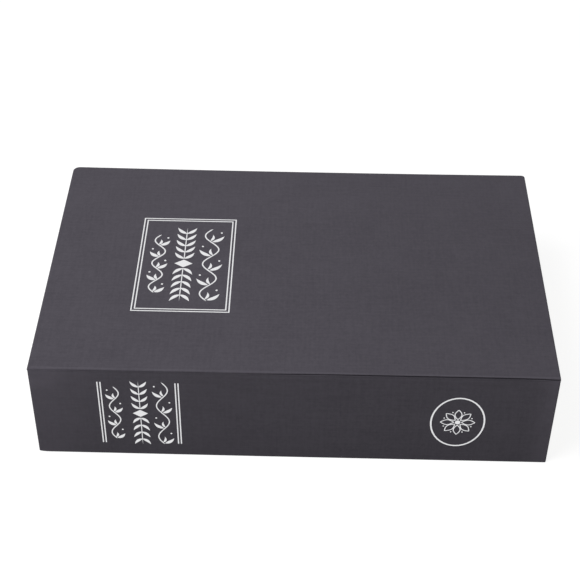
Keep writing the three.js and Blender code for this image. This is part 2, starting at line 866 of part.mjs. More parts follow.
function latch_slide() {
  const bar_bottom = axle_z - tooth_height / 2;
  const bar_top = axle_z + tooth_height / 2;
  const tooth_places = dial_places.map((y) => y + dial_pitch / 2 - latch_travel / 2);
  const teeth = tooth_places.map((y) =>
    block(
      [tooth_tip_x, y - tooth_thickness / 2, bar_bottom],
      [comb_bar_near_x + comb_bar_width / 2, y + tooth_thickness / 2, bar_top],
    ),
  );
  const bar_near = tooth_places[0] - tooth_thickness / 2;
  const bar = block([comb_bar_near_x, bar_near, bar_bottom], [comb_bar_far_x, latch_head_far, bar_top]);
  const head = block(
    [-latch_head_half_width, latch_head_near, bar_bottom],
    [comb_bar_far_x, latch_head_far, tongue_top],
  );
  const tongue = block(
    [-tongue_width / 2, latch_head_near, tongue_top - tongue_thickness],
    [tongue_width / 2, tongue_far, tongue_top],
  );
  return named("latch_slide", join(head, bar, ...teeth, tongue), bare_steel);
}

function latch_button() {
  const low = [-button_width / 2, button_y - button_length / 2];
  const high = [button_width / 2, button_y + button_length / 2];
  const cap = plate(rounded_outline(low, high, Array(4).fill(button_corner_radius)), button_bottom, dial_top);
  const first = button_y - ((button_grooves - 1) * button_groove_pitch) / 2;
  const grooves = Array.from({ length: button_grooves }, (_, k) => {
    const y = first + k * button_groove_pitch;
    return block(
      [-button_width, y - button_groove_width / 2, dial_top - button_groove_depth],
      [button_width, y + button_groove_width / 2, dial_top + overrun],
    );
  });
  const neck = block(
    [-latch_neck_width / 2, latch_neck_near, tongue_top + glue_gap],
    [latch_neck_width / 2, latch_neck_far, button_bottom + button_lift],
  );
  return named("latch_button", join(cut(cap, ...grooves), neck), black_plastic);
}

function reset_lever() {
  const arm_top = case_bottom - running_gap;
  const arm_bottom = arm_top - lever_arm_thickness;
  const collar_bottom = case_floor_top + running_gap;
  const collar_top = collar_bottom + lever_collar_height;
  const post = turned([
    [0, arm_bottom],
    [lever_post_radius, arm_bottom],
    [lever_post_radius, collar_bottom],
    [lever_collar_radius, collar_bottom],
    [lever_collar_radius, collar_top],
    [0, collar_top],
  ]).translate(0, lever_y, 0);
  const half = lever_arm_width / 2;
  const low = [-lever_arm_length, lever_y - half];
  const outline = rounded_outline(low, [half, lever_y + half], Array(4).fill(half * lever_round_share));
  const arm = plate(outline, arm_bottom, arm_top);
  return named("reset_lever", join(post, arm), bright_chrome);
}

// Foil

function frame_geometry(head, length, spine, width) {
  const low = [head, spine];
  const high = [head + length, spine + width];
  const outline = points([low, [high[0], low[1]], high, [low[0], high[1]]]);
  const inner_low = low.map((value) => value + frame_stroke);
  const inner_high = high.map((value) => value - frame_stroke);
  const hole = points([inner_low, [inner_low[0], inner_high[1]], inner_high, [inner_high[0], inner_low[1]]]);
  return plate(outline, front_board_top, book_thickness, [hole]).translate(-book_half, spine_edge, 0);
}

function title_frames() {
  const inner_spine = outer_frame_spine + frame_step;
  const outer = frame_geometry(outer_frame_head, outer_frame_length, outer_frame_spine, outer_frame_width);
  const inner = frame_geometry(inner_head, inner_length, inner_spine, inner_width);
  return [named("title_frame_outer", outer, silver_foil), named("title_frame_inner", inner, silver_foil)];
}

// A chain of open lozenges: its outline, and a hole in each lozenge.
// The first coordinate runs down the chain's height, and the second along it, both from its middle.
function lozenge_chain(height, width, count, stroke) {
  const pitch = width / count;
  const start = -width / 2;
  const tip = height / 2;
  const link = stroke / 2;
  const places = Array.from({ length: count }, (_, k) => start + (k + 1 / 2) * pitch);
  const rising = places.flatMap((y) => [[link, y - pitch / 2], [tip, y]]);
  const falling = places.flatMap((y) => [[-link, y - pitch / 2], [-tip, y]]).reverse();
  const hole_tip = tip - 2 * stroke;
  const hole_half = (pitch / 2) * (hole_tip / tip);
  const corners = (y) => [[0, y - hole_half], [-hole_tip, y], [0, y + hole_half], [hole_tip, y]];
  const holes = places.map((y) => points(corners(y)));
  return { outline: points([...rising, [link, -start], [-link, -start], ...falling]), holes };
}

function title_ornament() {
  const middle_y = spine_edge + outer_frame_spine + outer_frame_width / 2;
  return title_row_shares.map((share, k) => {
    const height = share.height * inner_length;
    const width = share.width * inner_width;
    const { outline, holes } = lozenge_chain(height, width, share.count, title_row_stroke);
    const body = plate(outline, front_board_top, book_thickness, holes);
    const middle_x = -book_half + inner_head + share.head * inner_length + height / 2;
    return named("title_ornament_" + (k + 1), body.translate(middle_x, middle_y, 0), silver_foil);
  });
}

// Foil on the spine is drawn flat as (Z, X) and run along Y, out from the spine's face.
function on_spine(outline, holes = []) {
  return plate(outline, spine_edge, spine_face, holes).applyMatrix4(run_along_y);
}

function spine_rules() {
  return rule_places.map((head, k) => {
    const x = -book_half + head;
    const low = [x - rule_stroke / 2, spine_edge, rule_z - rule_length / 2];
    const high = [x + rule_stroke / 2, spine_face, rule_z + rule_length / 2];
    return named("spine_rule_" + (k + 1), block(low, high), silver_foil);
  });
}

function spine_ornament() {
  return spine_row_shares.map((share, k) => {
    const height = share.height * rule_field;
    const width = share.width * rule_length;
    const { outline, holes } = lozenge_chain(height, width, share.count, spine_row_stroke);
    const swap = (path) => path.map((point) => new THREE.Vector2(point.y, -point.x));
    const body = on_spine(swap(outline), holes.map(swap));
    const middle_x = -book_half + field_head + share.head * rule_field + height / 2;
    return named("spine_ornament_" + (k + 1), body.translate(middle_x, 0, rule_z), silver_foil);
  });
}

function ellipse(half_z, half_x) {
  return Array.from({ length: ring_steps }, (_, k) => {
    const angle = (2 * Math.PI * k) / ring_steps;
    return new THREE.Vector2(half_z * Math.cos(angle), half_x * Math.sin(angle));
  });
}

// A scalloped outline, with a lobe for each petal that reaches out to the radius.
function rosette(radius) {
  const steps = rosette_petals * corner_steps;
  return Array.from({ length: steps }, (_, k) => {
    const angle = (2 * Math.PI * k) / steps;
    const dip = (rosette_dip_share * (1 - Math.cos(rosette_petals * angle))) / 2;
    const reach = radius * (1 - dip);
    return new THREE.Vector2(reach * Math.cos(angle), reach * Math.sin(angle));
  });
}

function spine_device() {
  const x = book_half - device_tail;
  const inner = ellipse(device_half_width - device_stroke, device_half_length - device_stroke);
  const ring = on_spine(ellipse(device_half_width, device_half_length), [inner]);
  const flower = on_spine(rosette(rosette_radius), [rosette(rosette_radius - rosette_stroke)]);
  return [
    named("spine_ring", ring.translate(x, 0, device_z), silver_foil),
    named("spine_rosette", flower.translate(x, 0, device_z), silver_foil),
  ];
}

// The whole book

const book_safe = new THREE.Group();
book_safe.add(
  group([
    back_board(),
    spine_board(),
    back_endpaper(),
    page_side("page_edge_head", -1),
    page_side("page_edge_tail", 1),
    page_fore(),
    steel_box(),
    felt_liner(),
    rim_frame(),
    hinge_box_leaf(),
    hinge_pin(),
    ...box_rivets(),
    ...spine_rules(),
    ...spine_ornament(),
    ...spine_device(),
  ]),
  group([cloth_joint()]),
  group([front_board(), front_endpaper(), ...title_frames(), ...title_ornament()]),
  group([
    lid_plate(),
    hinge_lid_leaf(),
    ...lid_rivets(),
    lock_bezel(),
    lock_case(),
    ...lock_screws(),
    lock_axle(),
    detent_spring(),
  ]),
  ...dial_places.map((_, k) => dial_group(k)),
  group([latch_slide(), latch_button()]),
  group([reset_lever()]),
);

export default book_safe;
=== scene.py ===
import json
import math

import bpy
from mathutils import Matrix, Vector

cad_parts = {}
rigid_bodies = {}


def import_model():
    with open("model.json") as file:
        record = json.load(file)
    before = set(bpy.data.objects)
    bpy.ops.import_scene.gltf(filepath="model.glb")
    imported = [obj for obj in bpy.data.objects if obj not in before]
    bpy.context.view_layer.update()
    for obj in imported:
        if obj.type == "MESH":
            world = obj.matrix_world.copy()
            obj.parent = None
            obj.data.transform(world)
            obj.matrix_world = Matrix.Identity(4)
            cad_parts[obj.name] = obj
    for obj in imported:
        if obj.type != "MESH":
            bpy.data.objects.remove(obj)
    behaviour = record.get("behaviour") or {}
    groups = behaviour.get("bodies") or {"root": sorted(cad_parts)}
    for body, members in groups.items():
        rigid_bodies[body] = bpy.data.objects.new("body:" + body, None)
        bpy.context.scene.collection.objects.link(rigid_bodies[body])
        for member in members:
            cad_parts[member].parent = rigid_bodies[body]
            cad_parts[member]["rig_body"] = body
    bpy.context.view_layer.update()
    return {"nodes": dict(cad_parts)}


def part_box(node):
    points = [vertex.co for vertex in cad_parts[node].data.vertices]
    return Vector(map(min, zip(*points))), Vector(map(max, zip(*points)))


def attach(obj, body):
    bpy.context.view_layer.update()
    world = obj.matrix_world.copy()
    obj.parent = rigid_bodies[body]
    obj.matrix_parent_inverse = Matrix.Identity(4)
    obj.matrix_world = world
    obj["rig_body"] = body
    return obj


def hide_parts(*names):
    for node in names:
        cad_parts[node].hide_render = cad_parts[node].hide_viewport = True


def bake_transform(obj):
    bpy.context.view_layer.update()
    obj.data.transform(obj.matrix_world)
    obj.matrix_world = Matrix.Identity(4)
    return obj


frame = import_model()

# A book diversion safe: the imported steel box, lid, lock and covers, dressed in their finishes.
# Metres. X runs from the head of the book (-) to its tail (+), Y from the spine (-) to the
# fore-edge (+), and Z up through the thickness.

MM = 0.001
nodes = frame["nodes"]

# Camera, as the photograph was taken
camera_azimuth = math.radians(0.703)
camera_elevation = math.radians(40.7369)
camera_roll = math.radians(0.7046)
camera_offset = Vector((-2.8949 * MM, 7.8257 * MM, 698.8217 * MM))
camera_target = Vector((0, 0, 27.5 * MM))
camera_lens = 86.1711
camera_sensor = 36

# Lamps and surroundings
key_place = Vector((-0.58, -0.31, 1.04))
key_size = 0.7
key_power = 11
room_light = 0.34
paper_white = 1
table_size = 12
table_drop = 0.05 * MM
table_matt = 0.5
table_matt_seen = 0.24
table_glow_seen = 0.86

# Room for finding edges by their place, for cutters that stand past a piece, and for welding
pick_room = 0.1 * MM
knife_room = 1 * MM
weld_gap = 0.01 * MM

# Boards and spine
book_half_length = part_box("front_board")[1].x
book_half_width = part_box("front_board")[1].y
spine_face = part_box("spine_board")[0].y
foil_lift = 0.1 * MM
head_corner_radius = 3.5 * MM
tail_corner_radius = 1.8 * MM
near_corner_radius = 0.65 * MM
board_edge_radius = 0.55 * MM
case_edge_radius = 0.4 * MM
spine_end_radius = 0.7 * MM
spine_foot_radius = 1.5 * MM
bow_sag = 0.3 * MM
bow_start = 36 * MM
bow_step = 5 * MM
bow_slices = 8

# Wear at the foot of the spine: knocked up at the head's corner, worn up towards it.
# The slices are places in mm from the head.
knock_lift = 0.6 * MM
knock_length = 5 * MM
wear_lift = 0.3 * MM
wear_length = 110 * MM
foot_height = 2 * MM
foot_depth = 6 * MM
foot_slices = (*range(1, 6), *range(10, 120, 10))

# Cloth joint
joint_cloth = 0.5 * MM
joint_low = 51.3 * MM
joint_middle = 52.3 * MM
joint_high = 53.3 * MM
joint_overhang = 0.2 * MM
joint_end_radius = 0.45 * MM
joint_slices = 10

# Crease below the cover's lip
crease_low = 54.25 * MM
crease_high = 54.65 * MM
crease_depth = 0.9 * MM
crease_slices = 48
lip_setback = 0.4 * MM
lip_radius = 0.11 * MM

# Painted cloth tones: a painted sheen for the cover's near edge, painted light, and painted shade
painted_sheen_cloth = (0.1000, 0.0920, 0.1110)
painted_light_cloth = (0.1150, 0.1050, 0.1280)
painted_shade_cloth = (0.0300, 0.0270, 0.0340)

# Endpapers over the turned-in cloth, and the leaves
turn_in = 12 * MM
turn_in_slope = 0.8 * MM
turn_in_sink = 0.12 * MM
endpaper_slices = 24
leaf_columns = 36
leaf_rows = 240
leaf_pitch = 0.62 * MM
edge_leaf_depth = 0.05 * MM

# Edges broken on the steel work and the plastic, in mm
coated_edges = {"steel_box": 0.3, "rim_frame": 0.2, "lid_plate": 0.3}
chrome_edges = {"lock_bezel": 0.25, "reset_lever": 0.2}
plated_edges = {"lock_case": 0.25, "hinge_box_leaf": 0.1, "hinge_lid_leaf": 0.1, "latch_slide": 0.15}
plastic_edges = {"latch_button": 0.15}
dial_edge = 0.12

# Rivets and screws; in mm, a dome's radii and heights, and the insets and heights of a screw's rim
rivet_head_height = 0.7 * MM
rivet_shank = 1.2 * MM
rivet_dome = ((2.2, 0), (2.2, 0.2), (2.1, 0.36), (1.85, 0.51), (1.45, 0.62), (0.8, 0.69), (0, 0.7))
rivet_foot_share = 0.85
rivet_foot_chamfer = 0.2 * MM
screw_head_height = 1.2 * MM
screw_shank = 1 * MM
screw_rim = ((0.5, 0), (0.15, 0.12), (0, 0.4))
screw_slot_half = 0.3 * MM
screw_slot_depth = 0.55 * MM

# Felt
felt_edge = 0.5 * MM
felt_edge_sink = 0.25 * MM
felt_sink = 0.12 * MM
felt_ripple = 0.1 * MM
felt_cuts = 40

# Dials
dial_width = 4 * MM
dial_faces = 10
number_size = 2.9 * MM
number_proud = 0.03 * MM

# Foil ornament
foil_stroke = 0.95 * MM
spine_stroke = foil_stroke * 0.8
device_stroke = 0.42 * MM
device_petals = 8
title_bends = 5
spine_bends = 4

# Turns for what is drawn flat along X: to run along Y, or up the spine's face
along_y = Matrix(((0, -1, 0), (1, 0, 0), (0, 0, 1))).to_4x4()
up_the_spine = Matrix(((0, -1, 0), (0, 0, -1), (1, 0, 0))).to_4x4()

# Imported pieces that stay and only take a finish
plated_nodes = ("hinge_pin", "lock_axle", "detent_spring")
spine_rules = ("spine_rule_1", "spine_rule_2", "spine_rule_3", "spine_rule_4")
foil_nodes = (*spine_rules, "spine_ring", "title_frame_outer", "title_frame_inner")


# Tools of the bench

def pick_none():
    bpy.ops.object.select_all(action="DESELECT")


def pick_only(piece):
    """Only this piece is selected and active."""
    pick_none()
    piece.select_set(True)
    bpy.context.view_layer.objects.active = piece


def open_with(piece, kind, chosen):
    """Opens the piece in edit mode with the chosen vertices, edges or faces selected."""
    pick_only(piece)
    kinds = ("VERT", "EDGE", "FACE")
    bpy.context.tool_settings.mesh_select_mode = [kind == k for k in kinds]
    mesh = piece.data
    parts = {"VERT": mesh.vertices, "EDGE": mesh.edges, "FACE": mesh.polygons}
    for group in parts.values():
        group.foreach_set("select", [False] * len(group))
    for item in parts[kind]:
        item.select = bool(chosen(item))
    bpy.ops.object.mode_set(mode="EDIT")


def close_edit():
    bpy.ops.object.mode_set(mode="OBJECT")


def select_all_of(piece):
    open_with(piece, "FACE", lambda face: True)
    bpy.ops.mesh.select_all(action="SELECT")


def box_piece(name, low, high):
    """A block from corner to corner, as the start of a piece."""
    pick_none()
    low = Vector(low)
    high = Vector(high)
    bpy.ops.mesh.primitive_cube_add(size=1, location=(low + high) / 2, scale=high - low)
    return settle(bpy.context.active_object, name)


def settle(piece, name):
    """Puts the piece's place in its mesh and names it."""
    pick_only(piece)
    bpy.ops.object.transform_apply(location=True, rotation=True, scale=True)
    piece.name = name
    piece.data.name = name
    return piece


def edge_tests(piece):
    """For each edge its middle, its direction and how far its two faces turn from each other."""
    mesh = piece.data
    normals = {}
    for face in mesh.polygons:
        for key in face.edge_keys:
            normals.setdefault(key, []).append(face.normal.copy())
    found = {}
    for edge in mesh.edges:
        a, b = (mesh.vertices[i].co for i in edge.vertices)
        sides = normals.get(edge.key, [])
        turn = sides[0].angle(sides[1], 0) if len(sides) == 2 else math.pi
        found[edge.index] = ((a + b) / 2, (b - a).normalized(), turn)
    return found


def round_edges(piece, radius, segments, wanted, least_turn=math.radians(30)):
    """Rounds the sharp edges that the test on (middle, direction) accepts."""
    facts = edge_tests(piece)

    def chosen(edge):
        middle, along, turn = facts[edge.index]
        return turn > least_turn and wanted(middle, along)

    open_with(piece, "EDGE", chosen)
    bpy.ops.mesh.bevel(offset=radius, segments=segments, profile=0.5, affect="EDGES", clamp_overlap=True)
    close_edit()


def cut_with(piece, cutter):
    """Cuts the cutter's form out of the piece and takes the cutter away."""
    pick_only(piece)
    knife = piece.modifiers.new("cut", "BOOLEAN")
    knife.operation = "DIFFERENCE"
    knife.solver = "EXACT"
    knife.object = cutter
    bpy.ops.object.modifier_apply(modifier=knife.name)
    bpy.data.objects.remove(cutter)


def slice_at(piece, place, normal):
    """Adds a loop of edges where a plane crosses the piece."""
    select_all_of(piece)
    bpy.ops.mesh.bisect(plane_co=place, plane_no=normal)
    close_edit()


def slice_along(piece, low, high, count):
    """Equal slices across the length of a piece."""
    for k in range(1, count):
        slice_at(piece, (low + (high - low) * k / count, 0, 0), (1, 0, 0))


def weld(piece):
    """Merges what lies in one place, and leaves the piece open in edit mode."""
    select_all_of(piece)
    bpy.ops.mesh.remove_doubles(threshold=weld_gap)


def soften_shading(piece, degrees=35):
    """Smooth over the roundings, with the big faces left flat."""
    pick_only(piece)
    bpy.ops.object.shade_smooth_by_angle(angle=math.radians(degrees))
    weights = piece.modifiers.new("flat_faces", "WEIGHTED_NORMAL")
    weights.keep_sharp = True
    bpy.ops.object.modifier_apply(modifier=weights.name)


def dress(piece, finish):
    """Gives a piece its finish."""
    piece.data.materials.clear()
    piece.data.materials.append(finish)


def fit(piece, body, finish, slot, *stands_for):
    """Finishes a piece that rides on one body."""
    soften_shading(piece)
    dress(piece, finish)
    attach(piece, body)
    if stands_for:
        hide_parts(*stands_for)
    return piece


def joined(pieces, name):
    """One piece of several."""
    pick_none()
    for piece in pieces:
        piece.select_set(True)
    bpy.context.view_layer.objects.active = pieces[0]
    if len(pieces) > 1:
        bpy.ops.object.join()
    return settle(bpy.context.active_object, name)


# Finishes

def new_finish(name):
    """A new material, its node tree and its shader."""
    material = bpy.data.materials.new(name)
    material.use_nodes = True
    tree = material.node_tree
    return material, tree, tree.nodes["Principled BSDF"]


def add_node(tree, kind, **settings):
    node = tree.nodes.new(kind)
    for key, value in settings.items():
        setattr(node, key, value)
    return node


def set_in(node, **values):
    """Sets a node's sockets, whose names are written with _ for a space."""
    for key, value in values.items():
        node.inputs[key.replace("_", " ")].default_value = value
    return node


def place_of(tree, stretch=(1, 1, 1)):
    """Object coordinates, stretched along the axes."""
    coordinates = add_node(tree, "ShaderNodeTexCoord")
    mapping = add_node(tree, "ShaderNodeMapping")
    mapping.inputs["Scale"].default_value = stretch
    tree.links.new(coordinates.outputs["Object"], mapping.inputs["Vector"])
    return mapping.outputs["Vector"]


def noise(tree, size, stretch=(1, 1, 1), detail=3, roughness=0.55, distortion=0):
    """A noise whose features are about this size in metres."""
    node = add_node(tree, "ShaderNodeTexNoise")
    set_in(node, Scale=1 / size, Detail=detail, Roughness=roughness, Distortion=distortion)
    tree.links.new(place_of(tree, stretch), node.inputs["Vector"])
    return node.outputs["Fac"]


def reach(tree, value, low, high, to_low=0, to_high=1):
    """The value from low to high, spread smoothly from to_low to to_high."""
    node = add_node(tree, "ShaderNodeMapRange", interpolation_type="SMOOTHSTEP")
    set_in(node, From_Min=low, From_Max=high, To_Min=to_low, To_Max=to_high)
    tree.links.new(value, node.inputs["Value"])
    return node.outputs["Result"]


def spread(tree, value, to_low=0, to_high=1):
    """The middle of a noise's range, spread from to_low to to_high."""
    return reach(tree, value, 0.3, 0.7, to_low, to_high)


def calc(tree, operation, first, second):
    """A sum, product or the like of two values, each a socket or a number."""
    node = add_node(tree, "ShaderNodeMath", operation=operation)
    for socket, value in zip(node.inputs, (first, second)):
        if isinstance(value, (int, float)):
            socket.default_value = value
        else:
            tree.links.new(value, socket)
    return node.outputs["Value"]


def product(tree, first, *others):
    for other in others:
        first = calc(tree, "MULTIPLY", first, other)
    return first


def weighed(tree, *parts):
    """The sum of several values, each times its weight."""
    shares = [product(tree, value, weight) for value, weight in parts]
    total = shares[0]
    for share in shares[1:]:
        total = calc(tree, "ADD", total, share)
    return total


def band(tree, value, start, full, fading, end):
    """1 from full to fading, and 0 before the start and past the end."""
    return product(tree, reach(tree, value, start, full), reach(tree, value, fading, end, 1, 0))


def mixed(tree, share, first, second):
    """A colour between two colours."""
    node = add_node(tree, "ShaderNodeMix", data_type="RGBA")
    tree.links.new(share, node.inputs["Factor"])
    for key, colour in (("A", first), ("B", second)):
        socket = next(s for s in node.inputs if s.name == key and s.type == "RGBA")
        if isinstance(colour, tuple):
            socket.default_value = (*colour, 1)
        else:
            tree.links.new(colour, socket)
    return next(s for s in node.outputs if s.type == "RGBA")


def raise_surface(tree, shader, height, depth, strength=1):
    """A bump of this depth in metres."""
    bump = add_node(tree, "ShaderNodeBump")
    set_in(bump, Strength=strength, Distance=depth)
    tree.links.new(height, bump.inputs["Height"])
    tree.links.new(bump.outputs["Normal"], shader.inputs["Normal"])


def axes(tree):
    """The three object coordinates."""
    split = add_node(tree, "ShaderNodeSeparateXYZ")
    tree.links.new(place_of(tree), split.inputs["Vector"])
    return split.outputs["X"], split.outputs["Y"], split.outputs["Z"]


def thread(tree, along, pitch, wobble):
    """A run of threads across one coordinate, a little uneven."""
    bent = calc(tree, "ADD", product(tree, along, 2 * math.pi / pitch), wobble)
    wave = calc(tree, "SINE", bent, 0)
    return calc(tree, "ADD", product(tree, wave, 0.5), 0.5)


def tinted(tree, shader, share, dark, light):
    """Colours the surface between a dark and a light tone."""
    tree.links.new(mixed(tree, share, dark, light), shader.inputs["Base Color"])


def roughened(tree, shader, share, smooth, rough):
    """Makes the gloss uneven, as a noise says."""
    tree.links.new(spread(tree, share, smooth, rough), shader.inputs["Roughness"])


def cloth_finish(name, light_and_shade_paint):
    """Charcoal book cloth: a fine plain weave, faint slubs, soft mottling, and the painted light and
    shade that the given function adds.
    """
    dark = (0.0555, 0.0505, 0.0625)
    light = (0.0860, 0.0795, 0.0955)
    pitch = 0.45 * MM
    material, tree, shader = new_finish(name)
    x, y, z = axes(tree)
    across = calc(tree, "ADD", y, z)
    wobble = product(tree, noise(tree, 3 * MM), 5)
    weave = product(tree, thread(tree, x, pitch, wobble), thread(tree, across, pitch, wobble))
    mottle = noise(tree, 1.6 * MM, detail=4, roughness=0.6)
    slub_x = noise(tree, 1.1 * MM, stretch=(0.06, 1, 1), detail=2)
    slub_y = noise(tree, 1.1 * MM, stretch=(1, 0.06, 0.06), detail=2)
    cloud = noise(tree, 22 * MM, detail=3, roughness=0.6)
    slubs = calc(tree, "ADD", slub_x, slub_y)
    share = weighed(tree, (mottle, 0.36), (slubs, 0.2), (weave, 0.22), (cloud, 0.2))
    colour = mixed(tree, reach(tree, share, 0.23, 0.76), dark, light)
    # The given function paints light and shade into the cloth's colour here
    tree.links.new(light_and_shade_paint(tree, colour, x, y, z), shader.inputs["Base Color"])
    raise_surface(tree, shader, calc(tree, "ADD", weave, product(tree, slubs, 0.7)), 0.06 * MM, 0.7)
    set_in(shader, Roughness=0.85, Specular_IOR_Level=0.12, Sheen_Weight=0.03)
    return material


def aged_cover(tree, colour, x, y, z):
    """Painted light and shade on the cover's cloth: painted light towards the fore-edge, painted shade
    towards the tail, a painted sheen along the near edge, painted light on the near edge's face at its
    ends and along the joint, and painted shade in the crease.
    """
    # Painted light: paler towards the fore-edge
    colour = mixed(tree, reach(tree, y, -5 * MM, 70 * MM, 0, 0.08), colour, painted_light_cloth)
    # Painted shade: darker towards the tail
    colour = mixed(tree, reach(tree, x, -20 * MM, 75 * MM, 0, 0.09), colour, painted_shade_cloth)
    # Painted sheen: a paler line along the top of the near edge, broken up by noise
    line = band(tree, y, -77.2 * MM, -76.6 * MM, -76.4 * MM, -75.8 * MM)
    sheen_breakup = reach(tree, noise(tree, 5 * MM, stretch=(0.4, 1, 1)), 0.3, 0.6, 0.15, 0.55)
    on_top = reach(tree, z, 54.5 * MM, 54.8 * MM)
    colour = mixed(tree, product(tree, line, sheen_breakup, on_top), colour, painted_sheen_cloth)
    # Painted light on the near edge's face, at its ends and along the joint
    spine_side_light = product(tree, end_rub(tree, x, z), spine_side(tree, y))
    colour = mixed(tree, spine_side_light, colour, painted_light_cloth)
    # Painted shade in the crease under the lip, strongest towards the tail
    in_crease = band(tree, z, 54.1 * MM, 54.3 * MM, 54.75 * MM, 54.88 * MM)
    full = reach(tree, x, -40 * MM, 60 * MM, 0, 0.75)
    near = reach(tree, y, -76.4 * MM, -76 * MM, 1, 0)
    return mixed(tree, product(tree, in_crease, full, near), colour, painted_shade_cloth)


def aged_case(tree, colour, x, y, z):
    """Painted light and shade on the spine: painted light towards its head and its top, at its ends and
    along the joint, and painted shade towards its foot.
    """
    side = spine_side(tree, y)
    # Painted light: lighter towards the head and the top, and at the ends and along the joint
    lighter_to_head = reach(tree, x, -120 * MM, 50 * MM, 0.14, 0)
    raised = reach(tree, z, 26 * MM, 50 * MM, 0, 0.07)
    pale = calc(tree, "ADD", calc(tree, "ADD", lighter_to_head, raised), end_rub(tree, x, z))
    colour = mixed(tree, product(tree, pale, side), colour, painted_light_cloth)
    # Painted shade: darker towards the foot
    darker_to_foot = reach(tree, z, 2 * MM, 32 * MM, 0.17, 0)
    return mixed(tree, product(tree, darker_to_foot, side), colour, painted_shade_cloth)


def end_rub(tree, x, z):
    """Painted light at the ends of the spine, broad at the head and narrow at the tail, and along the
    joint, broken up by noise.
    """
    at_head = reach(tree, x, -121 * MM, -84 * MM, 1, 0)
    head = product(tree, at_head, reach(tree, z, 36 * MM, 52 * MM, 0.42, 1))
    at_tail = reach(tree, x, 106 * MM, 121 * MM, 0, 0.75)
    tail = product(tree, at_tail, reach(tree, z, 51.6 * MM, 53 * MM, 1, 1.25))
    joint = reach(tree, z, 51 * MM, 53 * MM, 0, 0.2)
    # The painted light, summed
    wear_and_light = calc(tree, "ADD", calc(tree, "ADD", head, tail), joint)
    return product(tree, wear_and_light, spread(tree, noise(tree, 7 * MM, detail=4), 0.6, 1))


def spine_side(tree, y):
    """1 on the faces that look towards the spine's side, 0 on the boards."""
    return reach(tree, y, -77.45 * MM, -77.1 * MM, 1, 0)


def foil_finish():
    """Stamped silver foil, taking a little of the cloth's grain."""
    material, tree, shader = new_finish("silver_foil")
    grain = noise(tree, 0.6 * MM, detail=3)
    tinted(tree, shader, grain, dark=(0.74, 0.74, 0.76), light=(0.84, 0.84, 0.85))
    roughened(tree, shader, grain, smooth=0.28, rough=0.4)
    raise_surface(tree, shader, grain, 0.01 * MM, 0.3)
    set_in(shader, Metallic=0.9)
    return material


def paper_finish():
    """Cream endpaper with faint fibres."""
    material, tree, shader = new_finish("endpaper")
    fibres = noise(tree, 0.9 * MM, stretch=(0.25, 1, 1), detail=4)
    cloud = noise(tree, 30 * MM, detail=2)
    share = reach(tree, weighed(tree, (fibres, 0.5), (cloud, 0.5)), 0.2, 0.8)
    tinted(tree, shader, share, dark=(0.75, 0.70, 0.58), light=(0.80, 0.76, 0.65))
    raise_surface(tree, shader, fibres, 0.02 * MM, 0.4)
    set_in(shader, Roughness=0.8, Specular_IOR_Level=0.25)
    return material


def page_finish():
    """The edges of closed leaves: fine lines, sections that lie a little proud, faint browning."""
    material, tree, shader = new_finish("page_edges")
    leaves = noise(tree, 0.3 * MM, stretch=(0.002, 0.002, 1), detail=3, roughness=0.7)
    sections = noise(tree, 4 * MM, stretch=(0.004, 0.004, 1), detail=2)
    brown = noise(tree, 18 * MM, stretch=(1, 1, 2), detail=2)
    share = spread(tree, weighed(tree, (leaves, 0.75), (sections, 0.1), (brown, 0.15)))
    tinted(tree, shader, share, dark=(0.74, 0.67, 0.53), light=(0.96, 0.91, 0.80))
    raise_surface(tree, shader, leaves, 0.03 * MM, 0.5)
    set_in(shader, Roughness=0.9, Specular_IOR_Level=0.1)
    return material


def coated_steel_finish():
    """Dark powder coat with a fine orange peel."""
    material, tree, shader = new_finish("coated_steel")
    peel = noise(tree, 0.8 * MM, detail=2, roughness=0.4)
    cloud = noise(tree, 25 * MM, detail=2)
    tinted(tree, shader, cloud, dark=(0.018, 0.018, 0.020), light=(0.032, 0.032, 0.035))
    roughened(tree, shader, peel, smooth=0.36, rough=0.5)
    raise_surface(tree, shader, peel, 0.02 * MM, 0.2)
    return material


def felt_finish():
    """Dark felt with short fibres."""
    material, tree, shader = new_finish("felt")
    fibres = noise(tree, 0.5 * MM, detail=5, roughness=0.75, distortion=1.2)
    tufts = noise(tree, 4 * MM, detail=3)
    share = spread(tree, weighed(tree, (fibres, 0.6), (tufts, 0.4)))
    tinted(tree, shader, share, dark=(0.028, 0.026, 0.032), light=(0.075, 0.070, 0.082))
    raise_surface(tree, shader, fibres, 0.12 * MM, 0.7)
    set_in(shader, Roughness=0.95, Specular_IOR_Level=0.1, Sheen_Weight=0.25)
    return material


def plated_finish():
    """Zinc plated steel with a drawn grain."""
    material, tree, shader = new_finish("plated_steel")
    drawn = noise(tree, 0.12 * MM, stretch=(0.02, 1, 1), detail=2)
    cloud = noise(tree, 6 * MM, detail=2)
    tinted(tree, shader, cloud, dark=(0.56, 0.56, 0.56), light=(0.66, 0.66, 0.65))
    roughened(tree, shader, drawn, smooth=0.34, rough=0.44)
    set_in(shader, Metallic=1)
    return material


def chrome_finish():
    """Satin nickel chrome, brushed along the dials' axle."""
    material, tree, shader = new_finish("bright_chrome")
    brushed = noise(tree, 0.1 * MM, stretch=(1, 0.015, 1), detail=2)
    marks = noise(tree, 5 * MM, stretch=(1, 0.3, 1), detail=4, roughness=0.65)
    share = spread(tree, weighed(tree, (brushed, 0.6), (marks, 0.4)))
    tinted(tree, shader, share, dark=(0.52, 0.52, 0.54), light=(0.68, 0.68, 0.69))
    roughened(tree, shader, brushed, smooth=0.18, rough=0.3)
    raise_surface(tree, shader, brushed, 0.004 * MM, 0.3)
    set_in(shader, Metallic=1)
    return material


